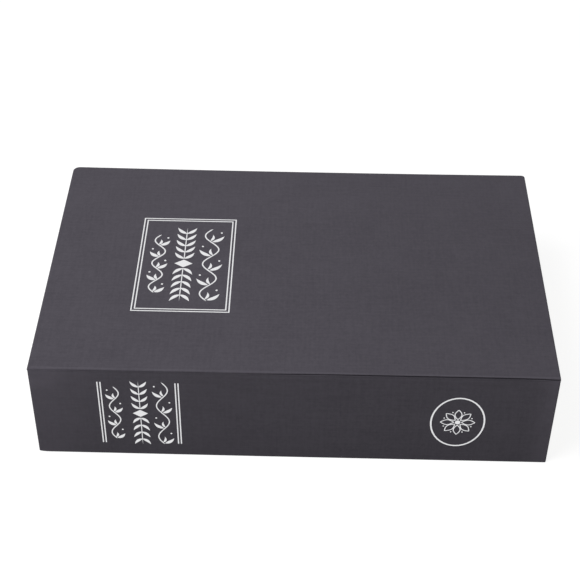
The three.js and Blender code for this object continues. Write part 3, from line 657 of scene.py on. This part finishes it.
def plastic_finish():
    """Black moulded plastic, finely eroded."""
    material, tree, shader = new_finish("dial_plastic")
    grain = noise(tree, 0.25 * MM, detail=2)
    tinted(tree, shader, grain, dark=(0.010, 0.010, 0.011), light=(0.018, 0.018, 0.019))
    roughened(tree, shader, grain, smooth=0.3, rough=0.42)
    raise_surface(tree, shader, grain, 0.01 * MM, 0.4)
    return material


def number_paint_finish():
    """White filling of the dial numbers."""
    material, tree, shader = new_finish("number_paint")
    grain = noise(tree, 0.3 * MM, detail=2)
    tinted(tree, shader, grain, dark=(0.72, 0.72, 0.70), light=(0.82, 0.82, 0.80))
    set_in(shader, Roughness=0.55)
    return material


def brass_finish():
    """Turned brass, a little dulled."""
    material, tree, shader = new_finish("brass")
    rings = noise(tree, 0.3 * MM, stretch=(1, 4, 1), detail=3)
    tinted(tree, shader, rings, dark=(0.42, 0.29, 0.10), light=(0.56, 0.40, 0.16))
    roughened(tree, shader, rings, smooth=0.26, rough=0.42)
    set_in(shader, Metallic=1)
    return material


# Camera, lamps and table

def camera_axes():
    """The camera's right, up and back directions, from its bearing, height and roll."""
    across = math.cos(camera_elevation)
    back = Vector((
        math.sin(camera_azimuth) * across,
        -math.cos(camera_azimuth) * across,
        math.sin(camera_elevation),
    ))
    right = Vector((math.cos(camera_azimuth), math.sin(camera_azimuth), 0))
    up = back.cross(right)
    cosine = math.cos(camera_roll)
    sine = math.sin(camera_roll)
    return right * cosine + up * sine, up * cosine - right * sine, back


def add_camera():
    """The photograph's camera."""
    right, up, back = camera_axes()
    place = camera_target + right * camera_offset.x + up * camera_offset.y + back * camera_offset.z
    data = bpy.data.cameras.new("photo_camera")
    data.lens = camera_lens
    data.sensor_width = camera_sensor
    data.clip_start = 0.01
    data.clip_end = 20
    camera = bpy.data.objects.new("photo_camera", data)
    turn = Matrix((right, up, back)).transposed().to_4x4()
    camera.matrix_world = Matrix.Translation(place) @ turn
    bpy.context.scene.collection.objects.link(camera)
    bpy.context.scene.camera = camera


def seen_directly(tree):
    """1 for what the camera sees directly, in a gloss or through glass."""
    path = add_node(tree, "ShaderNodeLightPath")
    direct = calc(tree, "ADD", path.outputs["Is Camera Ray"], path.outputs["Is Glossy Ray"])
    return calc(tree, "MINIMUM", calc(tree, "ADD", direct, path.outputs["Is Transmission Ray"]), 1)


def add_room():
    """An even white room: white to look at, softer as a light."""
    world = bpy.data.worlds.new("room")
    world.use_nodes = True
    bpy.context.scene.world = world
    tree = world.node_tree
    background = tree.nodes["Background"]
    colour = mixed(tree, seen_directly(tree), (room_light,) * 3, (paper_white,) * 3)
    tree.links.new(colour, background.inputs["Color"])
    background.inputs["Strength"].default_value = 1


def add_key_lamp():
    """A broad soft lamp, high at the head's side."""
    data = bpy.data.lights.new("key_lamp", "AREA")
    data.shape = "SQUARE"
    data.size = key_size
    data.energy = key_power
    lamp = bpy.data.objects.new("key_lamp", data)
    lamp.location = key_place
    aim = (camera_target - key_place).to_track_quat("-Z", "Y")
    lamp.rotation_euler = aim.to_euler()
    bpy.context.scene.collection.objects.link(lamp)


def table_finish():
    """A white table: pale to look at with a soft shadow, and greyer as a reflector."""
    material, tree, shader = new_finish("table_white")
    output = tree.nodes["Material Output"]
    tree.nodes.remove(shader)
    seen = seen_directly(tree)
    matt = add_node(tree, "ShaderNodeBsdfDiffuse")
    colour = mixed(tree, seen, (table_matt,) * 3, (table_matt_seen,) * 3)
    tree.links.new(colour, matt.inputs["Color"])
    glow = add_node(tree, "ShaderNodeEmission")
    tree.links.new(mixed(tree, seen, (0, 0, 0), (table_glow_seen,) * 3), glow.inputs["Color"])
    both = add_node(tree, "ShaderNodeAddShader")
    tree.links.new(matt.outputs["BSDF"], both.inputs[0])
    tree.links.new(glow.outputs["Emission"], both.inputs[1])
    tree.links.new(both.outputs["Shader"], output.inputs["Surface"])
    return material


def add_table():
    """The table that the book lies on."""
    pick_none()
    bpy.ops.mesh.primitive_plane_add(size=table_size, location=(0, 0, -table_drop))
    table = settle(bpy.context.active_object, "table")
    table.data.materials.append(table_finish())


# Cloth case

def upright(along):
    return abs(along.z) > 0.9


def round_board_corners(piece, head_radius, tail_radius):
    """Rounds the two corners at the fore-edge."""
    round_edges(piece, head_radius, 6, lambda m, a: upright(a) and m.y > 0 and m.x < 0)
    round_edges(piece, tail_radius, 5, lambda m, a: upright(a) and m.y > 0 and m.x > 0)


def s_curve(x, middle, width, height):
    """From 0 to the height along x, half-way at the middle. It falls where the width is negative."""
    return height / (1 + math.exp((middle - x) / width))


def ramp(x, start, length):
    """0 up to the start, then rising to 1 over the length."""
    return max(0, (x - start) / length)


def crease_share(x):
    """How deep the crease is pressed along the book: faint at the head, full towards the tail."""
    wave = 0.06 * math.sin(x / (9 * MM)) + 0.05 * math.sin(x / (3.7 * MM) + 1)
    rise = 0.08 + s_curve(x, -2 * MM, 9 * MM, 0.92)
    return max(0.02, min(1, rise + wave * (1 - rise)))


def lip_share(x):
    """How far the cover's lip is set back over the crease: most in the tail's half."""
    return crease_share(x) * (1 - 0.75 * ramp(x, 100 * MM, 20 * MM))


def crease_drop(x):
    """How much lower the crease runs in the head's half and towards the tail's corner."""
    head = s_curve(x, 8 * MM, -3 * MM, 0.3 * MM)
    tail = 0.5 * MM * ramp(x, 104 * MM, 16 * MM) ** 1.5
    return -head - tail


def press_crease(piece, near):
    """Gives the crease and the lip above it their changing depth and height."""
    lowest = crease_low - 0.2 * MM
    lip_bottom = crease_high - 0.12 * MM
    roof = crease_high + 0.05 * MM
    deepest = crease_depth + 0.1 * MM
    lip_back = lip_setback + 0.18 * MM
    for vertex in piece.data.vertices:
        x, y, z = vertex.co
        deep = y - near
        if z < lowest or deep > deepest:
            continue
        on_lip = z > lip_bottom and deep < lip_back
        share = lip_share(x) if on_lip else crease_share(x)
        vertex.co.y = near + deep * share
        if z < roof:
            vertex.co.z = z + crease_drop(x)


def slice_bow(piece):
    """Slices towards the fore-edge, where a board bends."""
    for k in range(bow_slices):
        slice_at(piece, (0, bow_start + k * bow_step, 0), (0, 1, 0))


def bow(piece):
    """Boards dry hollow: the middle of the fore-edge hangs and draws back a little."""
    for vertex in piece.data.vertices:
        x, y, z = vertex.co
        share = (y - bow_start) / (book_half_width - bow_start)
        if share > 0:
            drop = bow_sag * (1 - (x / book_half_length) ** 2) * share * share * (3 - 2 * share)
            vertex.co.y = y - drop
            vertex.co.z = z - drop


def front_cover_cloth(cloth):
    """The front board in its cloth, with the crease pressed along its near edge."""
    low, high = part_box("front_board")
    near = low.y
    past = high.x + knife_room
    piece = box_piece("front_cover_cloth", low, high)
    round_board_corners(piece, head_corner_radius, tail_corner_radius)
    round_edges(piece, near_corner_radius, 4, lambda m, a: upright(a) and m.y < 0)
    round_edges(piece, board_edge_radius, 4, lambda m, a: not upright(a))
    lip = (crease_low + crease_high) / 2
    for name, depth, bottom, top in (
        ("crease", crease_depth, crease_low, crease_high),
        ("lip", lip_setback, lip, high.z + knife_room),
        ("rabbet", foil_lift + joint_cloth, low.z - knife_room, joint_high),
    ):
        cutter = box_piece(name, (-past, near - knife_room, bottom), (past, near + depth, top))
        cut_with(piece, cutter)

    def in_crease(middle, along):
        near_it = middle.y < near + crease_depth + pick_room and abs(middle.x) < high.x - 1 * MM
        return near_it and middle.z > crease_low - pick_room and abs(along.x) > 0.9

    round_edges(piece, lip_radius, 3, in_crease)
    weld(piece)
    bpy.ops.mesh.dissolve_degenerate(threshold=weld_gap)
    close_edit()
    slice_along(piece, low.x, high.x, crease_slices)
    slice_bow(piece)
    press_crease(piece, near)
    bow(piece)
    return fit(piece, "front_cover", cloth, "book_cloth", "front_board")


def case_cloth(cloth):
    """The back board and the spine in one wrap of cloth."""
    low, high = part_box("back_board")
    spine_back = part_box("spine_board")[1].y
    piece = box_piece("case_cloth", (low.x, spine_face, low.z), high)
    slice_at(piece, (0, spine_back, 0), (0, 1, 0))
    open_with(piece, "FACE", lambda face: face.normal.z > 0.9 and face.center.y < spine_back)
    bpy.ops.mesh.extrude_region_move(TRANSFORM_OT_translate={"value": (0, 0, joint_low - high.z)})
    close_edit()
    round_board_corners(piece, head_corner_radius, tail_corner_radius)
    round_edges(piece, spine_end_radius, 5, at_spine_end)

    def at_foot(middle, along):
        low_down = middle.z < pick_room and middle.y < spine_face + spine_end_radius + pick_room
        return low_down and abs(along.y) < 0.95

    round_edges(piece, spine_foot_radius, 5, at_foot)

    def off_the_seam(middle, along):
        return middle.z < joint_low - pick_room or middle.y > spine_back - pick_room

    round_edges(piece, case_edge_radius, 3, off_the_seam)
    ease_foot(piece, low.x)
    return fit(piece, "safe", cloth, "book_cloth", "back_board", "spine_board")


def at_spine_end(middle, along):
    """The upright edges at the ends of the spine's face."""
    return upright(along) and middle.y < spine_face + pick_room


def ease_foot(piece, end):
    """Wears the foot of the spine."""
    for place in foot_slices:
        slice_at(piece, (end + place * MM, 0, 0), (1, 0, 0))
    for vertex in piece.data.vertices:
        x, y, z = vertex.co
        corner = max(0, 1 - (x - end) / knock_length)
        wear_and_light = max(0, min(1, -x / wear_length))
        down = 1 - z / foot_height
        near = 1 - (y - spine_face) / foot_depth
        if min(down, near) > 0:
            vertex.co.z = z + (knock_lift * corner ** 2 + wear_lift * wear_and_light) * down * near


def joint_strip(name, bottom, top):
    """One half of the cloth joint, in line with the spine's face."""
    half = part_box("spine_board")[1].x + joint_overhang
    piece = box_piece(name, (-half, spine_face, bottom), (half, spine_face + joint_cloth, top))
    round_edges(piece, joint_end_radius, 4, at_spine_end)
    for k in range(1, joint_slices):
        slice_at(piece, (0, 0, bottom + (top - bottom) * k / joint_slices), (0, 0, 1))
    soften_shading(piece, 50)
    return piece


def joint_cloth_lower(cloth):
    """The half of the cloth joint from the spine."""
    piece = joint_strip("joint_cloth_lower", joint_low, joint_middle)
    dress(piece, cloth)
    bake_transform(piece)
    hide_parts("cloth_joint")
    return piece


def joint_cloth_upper(cloth):
    """The half of the cloth joint towards the cover."""
    piece = joint_strip("joint_cloth_upper", joint_middle, joint_high)
    dress(piece, cloth)
    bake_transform(piece)
    return piece


def endpaper(name, node, body, paper, inner_side):
    """A pasted endpaper, lifted a little over the turned-in cloth."""
    low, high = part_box(node)
    piece = box_piece(name, low, high)
    open_with(piece, "FACE", lambda face: face.normal.z * inner_side > 0.9)
    bpy.ops.mesh.inset(thickness=turn_in, depth=0)
    bpy.ops.mesh.inset(thickness=turn_in_slope, depth=-turn_in_sink)
    close_edit()
    if body == "front_cover":
        slice_along(piece, low.x, high.x, endpaper_slices)
        slice_bow(piece)
        bow(piece)
    return fit(piece, body, paper, "endpaper", node)


# Page edges

def leaf_depth(height, place, end, seed):
    """How far the leaves stand back from the strip's face at this height and place."""
    drift = 1.3 * math.sin(height / (3.1 * MM))
    rib = 0.5 + 0.5 * math.sin(2 * math.pi * height / leaf_pitch + drift)
    swell = 1 + math.sin(place / (31 * MM) + seed) * math.sin(height / (9 * MM) + 2 * seed)
    fine = 1 + math.sin(place / (7 * MM) + height / (0.4 * MM) * 0.7 + seed)
    inner = 1 - abs(end) ** 8
    return (0.04 + 0.14 * rib + inner * (0.05 * swell + 0.02 * fine)) * MM


def page_strip(name, node, paper_edges, seed):
    """A block of leaves along one side of the box, mitred at the fore-edge corners."""
    low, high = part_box(node)
    size = high - low
    along_x = size.x > size.y
    length = size.x if along_x else size.y
    depth = size.y if along_x else size.x
    pick_none()
    bpy.ops.mesh.primitive_grid_add(x_subdivisions=leaf_columns, y_subdivisions=leaf_rows, size=1)
    piece = settle(bpy.context.active_object, name)
    mesh = piece.data
    for vertex in mesh.vertices:
        vertex.co = (vertex.co.x * length, (vertex.co.y + 0.5) * size.z, 0)
    select_all_of(piece)
    bpy.ops.mesh.extrude_region_move(TRANSFORM_OT_translate={"value": (0, 0, depth)})
    close_edit()
    open_with(piece, "VERT", lambda vertex: vertex.co.z < depth / 2)
    bpy.ops.mesh.edge_face_add()
    close_edit()
    middle = (low + high) / 2
    for vertex in mesh.vertices:
        place, height, out = vertex.co
        end = place / (length / 2)
        if out > depth / 2:
            inside = 0.02 * size.z < height < 0.98 * size.z
            out -= leaf_depth(height, place, end, seed) if inside else edge_leaf_depth
        if end > 0.999:
            place -= depth - out
        if end < -0.999 and along_x:
            place += depth - out
        if along_x:
            vertex.co = (middle.x + place, low.y + out, low.z + height)
        else:
            x = low.x + out if high.x > 0 else high.x - out
            vertex.co = (x, middle.y + place, low.z + height)
    select_all_of(piece)
    bpy.ops.mesh.normals_make_consistent(inside=False)
    close_edit()
    return fit(piece, "safe", paper_edges, "page_edges", node)


# Steel work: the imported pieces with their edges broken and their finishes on

def eased(node, radius, finish, slot):
    """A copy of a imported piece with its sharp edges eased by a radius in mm, in its place."""
    source = nodes[node]
    mesh = source.data.copy()
    piece = bpy.data.objects.new(node + "_eased", mesh)
    piece.data.name = piece.name
    bpy.context.scene.collection.objects.link(piece)
    weld(piece)
    bpy.ops.mesh.dissolve_limited(angle_limit=math.radians(0.5))
    close_edit()
    pick_only(piece)
    bevel = piece.modifiers.new("eased", "BEVEL")
    bevel.width = radius * MM
    bevel.segments = 2
    bevel.limit_method = "ANGLE"
    bevel.angle_limit = math.radians(35)
    bpy.ops.object.modifier_apply(modifier=bevel.name)
    return fit(piece, source["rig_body"], finish, slot, node)


def turned(name, profile, steps=32):
    """A turned piece about Z: a ball whose rings take the profile's radii and heights."""
    rings = len(profile) - 1
    pick_none()
    bpy.ops.mesh.primitive_uv_sphere_add(segments=steps, ring_count=rings, radius=1)
    piece = bpy.context.active_object
    piece.name = name
    for vertex in piece.data.vertices:
        x, y, z = vertex.co
        k = round(math.acos(max(-1, min(1, -z))) / math.pi * rings)
        radius, height = profile[k]
        flat = math.hypot(x, y)
        if k in (0, rings):
            vertex.co = (0, 0, height)
        else:
            vertex.co = (x / flat * radius, y / flat * radius, height)
    return piece


def rivet_head(rise):
    """The domed head of a rivet that starts at this height, as radii and heights."""
    return [(radius * MM, rise + height * MM) for radius, height in rivet_dome]


def lid_rivet(k, plated):
    """A rivet through the lid and the lid leaf, with its tail spread below."""
    node = "hinge_lid_rivet_" + str(k)
    low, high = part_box(node)
    wide = (high.x - low.x) / 2
    tail_top = low.z + rivet_head_height
    grip = high.z - low.z - 2 * rivet_head_height
    foot = [(0, low.z), (wide * rivet_foot_share, low.z), (wide, low.z + rivet_foot_chamfer)]
    shank = [(wide, tail_top), (rivet_shank, tail_top), (rivet_shank, tail_top + grip)]
    piece = turned("lid_rivet_" + str(k), [*foot, *shank, *rivet_head(high.z - rivet_head_height)])
    middle = (low + high) / 2
    piece.data.transform(Matrix.Translation((middle.x, middle.y, 0)))
    return fit(piece, "lid", plated, "plated_steel", node)


def box_rivet(k, plated):
    """A rivet through the box's near wall and the box leaf, flush behind."""
    node = "hinge_box_rivet_" + str(k)
    low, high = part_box(node)
    length = high.y - low.y
    shank = [(0, -length), (rivet_shank, -length), (rivet_shank, -rivet_head_height)]
    piece = turned("box_rivet_" + str(k), [*shank, *rivet_head(-rivet_head_height)])
    middle = (low + high) / 2
    lay = Matrix(((1, 0, 0), (0, 0, 1), (0, -1, 0))).to_4x4()
    piece.data.transform(Matrix.Translation((middle.x, high.y, middle.z)) @ lay)
    return fit(piece, "safe", plated, "plated_steel", node)


def lock_screw(k, plated):
    """A slotted cheese-head screw under the lock case's ear."""
    node = "lock_screw_" + str(k)
    low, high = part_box(node)
    wide = (high.x - low.x) / 2
    top = low.z + screw_head_height
    rim = [(wide - inset * MM, low.z + rise * MM) for inset, rise in screw_rim]
    shank = [(screw_shank, top), (screw_shank, high.z), (0, high.z)]
    piece = turned("lock_screw_turned_" + str(k), [(0, low.z), *rim, (wide, top), *shank])
    middle = (low + high) / 2
    piece.data.transform(Matrix.Translation((middle.x, middle.y, 0)))
    slot_low = (middle.x - screw_slot_half, low.y - knife_room, low.z - knife_room)
    slot_high = (middle.x + screw_slot_half, high.y + knife_room, low.z + screw_slot_depth)
    cut_with(piece, box_piece("slot", slot_low, slot_high))
    return fit(piece, "lid", plated, "plated_steel", node)


def felt_floor(felt):
    """The felt cut to the box's floor, a little uneven."""
    low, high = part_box("felt_liner")
    piece = box_piece("felt_floor", low, high)
    open_with(piece, "FACE", lambda face: face.normal.z > 0.9)
    bpy.ops.mesh.inset(thickness=felt_edge, depth=0)
    bpy.ops.mesh.subdivide(number_cuts=felt_cuts)
    close_edit()
    for vertex in piece.data.vertices:
        x, y, z = vertex.co
        inside = min(x - low.x, high.x - x, y - low.y, high.y - y) > felt_edge - pick_room
        if z > high.z - pick_room:
            ripple = math.sin(x / (17 * MM)) * math.sin(y / (13 * MM) + 1)
            vertex.co.z += felt_ripple * ripple - felt_sink if inside else -felt_edge_sink
    fit(piece, "safe", felt, "felt", "felt_liner")
    return piece


# Foil ornament

def ribbon(name, points, widths):
    """A flat stroke of foil along a line, lying in the XY plane, pointed where its width is zero."""
    count = len(points) - 1
    pick_none()
    bpy.ops.mesh.primitive_grid_add(x_subdivisions=count, y_subdivisions=1, size=1)
    piece = bpy.context.active_object
    piece.name = name
    for vertex in piece.data.vertices:
        k = round((vertex.co.x + 0.5) * count)
        side = 1 if vertex.co.y > 0 else -1
        ahead = Vector(points[min(k + 1, count)]) - Vector(points[max(k - 1, 0)])
        normal = Vector((-ahead.y, ahead.x)).normalized()
        spot = Vector(points[k]) + normal * side * widths[k] / 2
        vertex.co = (spot.x, spot.y, 0)
    weld(piece)
    close_edit()
    return piece


def arc_line(length, bend, angle, spot, steps=12):
    """A shallow arc from a spot, this long, at this angle."""
    turn = Matrix.Rotation(angle, 2)
    shares = [k / steps for k in range(steps + 1)]
    return [turn @ Vector((s * length, bend * math.sin(math.pi * s))) + Vector(spot) for s in shares]


def leaf(name, length, width, bend, angle, spot):
    """A pointed leaf, curved to one side."""
    line = arc_line(length, bend, angle, spot)
    last = len(line) - 1
    widths = [width * math.sin(math.pi * (k / last) ** 0.8) for k in range(last)]
    return ribbon(name, line, [*widths, 0])


def dot(name, radius, spot):
    """A round spot of foil."""
    pick_none()
    bpy.ops.mesh.primitive_circle_add(vertices=16, radius=radius, fill_type="NGON", location=(*spot, 0))
    return settle(bpy.context.active_object, name)


def thickened(piece, thickness):
    """Gives flat foil its thickness, from the cloth up, and melts its strokes into one."""
    pick_only(piece)
    wall = piece.modifiers.new("foil", "SOLIDIFY")
    wall.thickness = thickness
    wall.offset = 1
    bpy.ops.object.modifier_apply(modifier=wall.name)
    select_all_of(piece)
    bpy.ops.mesh.normals_make_consistent(inside=False)
    bpy.ops.mesh.intersect_boolean(operation="UNION", use_self=True, solver="EXACT")
    close_edit()
    return piece


def vine_row(length, height, stroke, bends):
    """A running vine: a waving stem with two leaves and a berry in each bend."""
    pitch = length / bends
    swing = height * 0.3
    steps = bends * 12
    shares = [k / steps for k in range(steps + 1)]
    line = [Vector(((s - 0.5) * length, swing * math.sin(math.pi * bends * s))) for s in shares]
    widths = [stroke * 0.7] * (steps - 1)
    parts = [ribbon("stem", line, [0, *widths, 0])]
    for k in range(bends):
        side = 1 if k % 2 else -1
        start = -length / 2 + k * pitch
        spot = (start + pitch * 0.06, 0)
        large = height * 0.62
        bend = side * height * 0.07
        parts.append(leaf("leaf", large, stroke * 2.1, bend, side * math.radians(52), spot))
        small = height * 0.42
        spot = (start + pitch * 0.12, -side * swing * 0.25)
        parts.append(leaf("leaf", small, stroke * 1.4, bend, side * math.radians(12), spot))
        parts.append(dot("berry", stroke * 0.55, (start + pitch * 0.72, side * height * 0.36)))
    return joined(parts, "row")


def leaf_row(length, height, stroke, pairs):
    """A laurel: leaf pairs on a stem that point away from a middle lozenge."""
    bud = height * 0.3
    parts = [lozenge("bud", bud, height * 0.46)]
    room = length / 2 - bud * 1.3
    lean = math.radians(46)
    size = height * 0.5 / math.sin(lean)
    pitch = (room - size * math.cos(lean)) / (pairs - 1)
    for side in (-1, 1):
        stem = [Vector((side * (bud * 1.3 + room * s), 0)) for s in (0, 0.25, 0.5, 0.75, 1)]
        parts.append(ribbon("stem", stem, [stroke * 0.5] * 4 + [0]))
        for k in range(pairs):
            start = side * (bud * 1.3 + k * pitch)
            for up in (-1, 1):
                angle = up * lean
                heading = angle if side > 0 else math.pi - angle
                bend = side * up * size * 0.1
                parts.append(leaf("leaf", size, stroke * 1.9, bend, heading, (start, 0)))
    return joined(parts, "row")


def rosette(radius, stroke, petals):
    """An open flower of fine lines with a bead between every two petals."""
    heart = radius * 0.16
    parts = [dot("heart", heart, (0, 0))]
    for k in range(petals):
        angle = 2 * math.pi * k / petals
        outward = Vector((math.cos(angle), math.sin(angle)))
        for side in (-1, 1):
            line = arc_line(radius * 0.78, side * radius * 0.2, angle, outward * radius * 0.22)
            parts.append(ribbon("petal", line, [stroke] * len(line)))
        between = angle + math.pi / petals
        spot = (math.cos(between) * radius * 0.86, math.sin(between) * radius * 0.86)
        parts.append(dot("bead", stroke * 0.8, spot))
    return joined(parts, "flower")


def lozenge(name, half_x, half_y):
    """A flat lozenge of foil."""
    pick_none()
    bpy.ops.mesh.primitive_circle_add(vertices=4, radius=1, fill_type="NGON")
    piece = bpy.context.active_object
    piece.scale = (half_x, half_y, 1)
    return settle(piece, name)


def stamped(name, node, row, body, foil):
    """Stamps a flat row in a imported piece's place, on the cover's top or on the spine's face."""
    low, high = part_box(node)
    place = (low + high) / 2
    if body == "front_cover":
        thickened(row, high.z - low.z)
        place.z = low.z
        turn = along_y
    else:
        thickened(row, high.y - low.y)
        place.y = high.y
        turn = up_the_spine
    row.data.transform(Matrix.Translation(place) @ turn)
    settle(row, name)
    return fit(row, body, foil, "silver_foil", node)


def foil_rows(part, body, stroke, bends, foil):
    """Three rows side by side on the cover or the spine: a laurel between two vines."""
    for k in (1, 2, 3):
        node = part + "_ornament_" + str(k)
        low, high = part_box(node)
        length = max(high.y - low.y, high.z - low.z)
        make = leaf_row if k == 2 else vine_row
        row = make(length, high.x - low.x, stroke, bends)
        stamped(part + "_row_" + str(k), node, row, body, foil)


def spine_flower(foil):
    """The flower inside the ring at the foot of the spine."""
    low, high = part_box("spine_rosette")
    flower = rosette((high.x - low.x) / 2, device_stroke, device_petals)
    stamped("spine_flower", "spine_rosette", flower, "safe", foil)


# Lock dials

def centre_flat(piece):
    """Moves a flat piece so that its outline is centred on the origin."""
    corners = [vertex.co for vertex in piece.data.vertices]
    middle_x = (min(c.x for c in corners) + max(c.x for c in corners)) / 2
    middle_y = (min(c.y for c in corners) + max(c.y for c in corners)) / 2
    piece.data.transform(Matrix.Translation((-middle_x, -middle_y, 0)))


def dial_numbers(k, paint):
    """The numbers 0 to 9 on the faces of one dial."""
    low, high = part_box("dial_" + str(k))
    centre = Vector(((low.x + high.x) / 2, low.y + dial_width / 2, (low.z + high.z) / 2))
    to_face = Matrix.Translation((0, 0, high.z - centre.z))
    parts = []
    for digit in range(dial_faces):
        pick_none()
        bpy.ops.object.text_add()
        text = bpy.context.active_object
        text.data.body = str(digit)
        text.data.size = number_size
        text.data.align_x = "CENTER"
        text.data.align_y = "CENTER"
        text.data.extrude = number_proud
        text.data.resolution_u = 3
        bpy.ops.object.convert(target="MESH")
        piece = bpy.context.active_object
        centre_flat(piece)
        turn = Matrix.Rotation(math.radians(360 / dial_faces * digit), 4, "Y")
        piece.data.transform(Matrix.Translation(centre) @ turn @ to_face @ along_y)
        parts.append(piece)
    piece = joined(parts, "dial_" + str(k) + "_numbers")
    return fit(piece, "dial_" + str(k), paint, "dial_plastic")


# The whole book

def build_all():
    """Every piece, in the order in which the book is put together."""
    add_camera()
    cloth = cloth_finish("book_cloth", aged_case)
    cover_cloth = cloth_finish("book_cloth_cover", aged_cover)
    foil = foil_finish()
    paper = paper_finish()
    pages = page_finish()
    coat = coated_steel_finish()
    felt = felt_finish()
    plated = plated_finish()
    chrome = chrome_finish()
    plastic = plastic_finish()
    brass = brass_finish()
    front_cover_cloth(cover_cloth)
    case_cloth(cloth)
    joint_cloth_lower(cloth)
    joint_cloth_upper(cloth)
    endpaper("front_endpaper_sheet", "front_endpaper", "front_cover", paper, -1)
    endpaper("back_endpaper_sheet", "back_endpaper", "safe", paper, 1)
    page_strip("leaves_head", "page_edge_head", pages, 0.4)
    page_strip("leaves_tail", "page_edge_tail", pages, 1.7)
    page_strip("leaves_fore", "page_edge_fore", pages, 2.9)
    for edges, finish, slot in (
        (coated_edges, coat, "coated_steel"),
        (chrome_edges, chrome, "bright_chrome"),
        (plated_edges, plated, "plated_steel"),
        (plastic_edges, plastic, "dial_plastic"),
    ):
        for node, radius in edges.items():
            eased(node, radius, finish, slot)
    for k in (1, 2, 3):
        lid_rivet(k, plated)
        box_rivet(k, plated)
    lock_screw(1, plated)
    lock_screw(2, plated)
    felt_floor(felt)
    foil_rows("title", "front_cover", foil_stroke, title_bends, foil)
    foil_rows("spine", "safe", spine_stroke, spine_bends, foil)
    spine_flower(foil)
    paint = number_paint_finish()
    for k in (1, 2, 3):
        eased("dial_" + str(k), dial_edge, plastic, "dial_plastic")
        dial_numbers(k, paint)
        paint_node("code_disc_" + str(k), brass)
    for node in plated_nodes:
        paint_node(node, plated)
    for node in foil_nodes:
        paint_node(node, foil)


def paint_node(node, finish):
    """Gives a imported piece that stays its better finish."""
    for slot in nodes[node].material_slots:
        slot.material = finish


build_all()
add_table()
add_room()
add_key_lamp()
bpy.context.scene.view_settings.view_transform = "Standard"
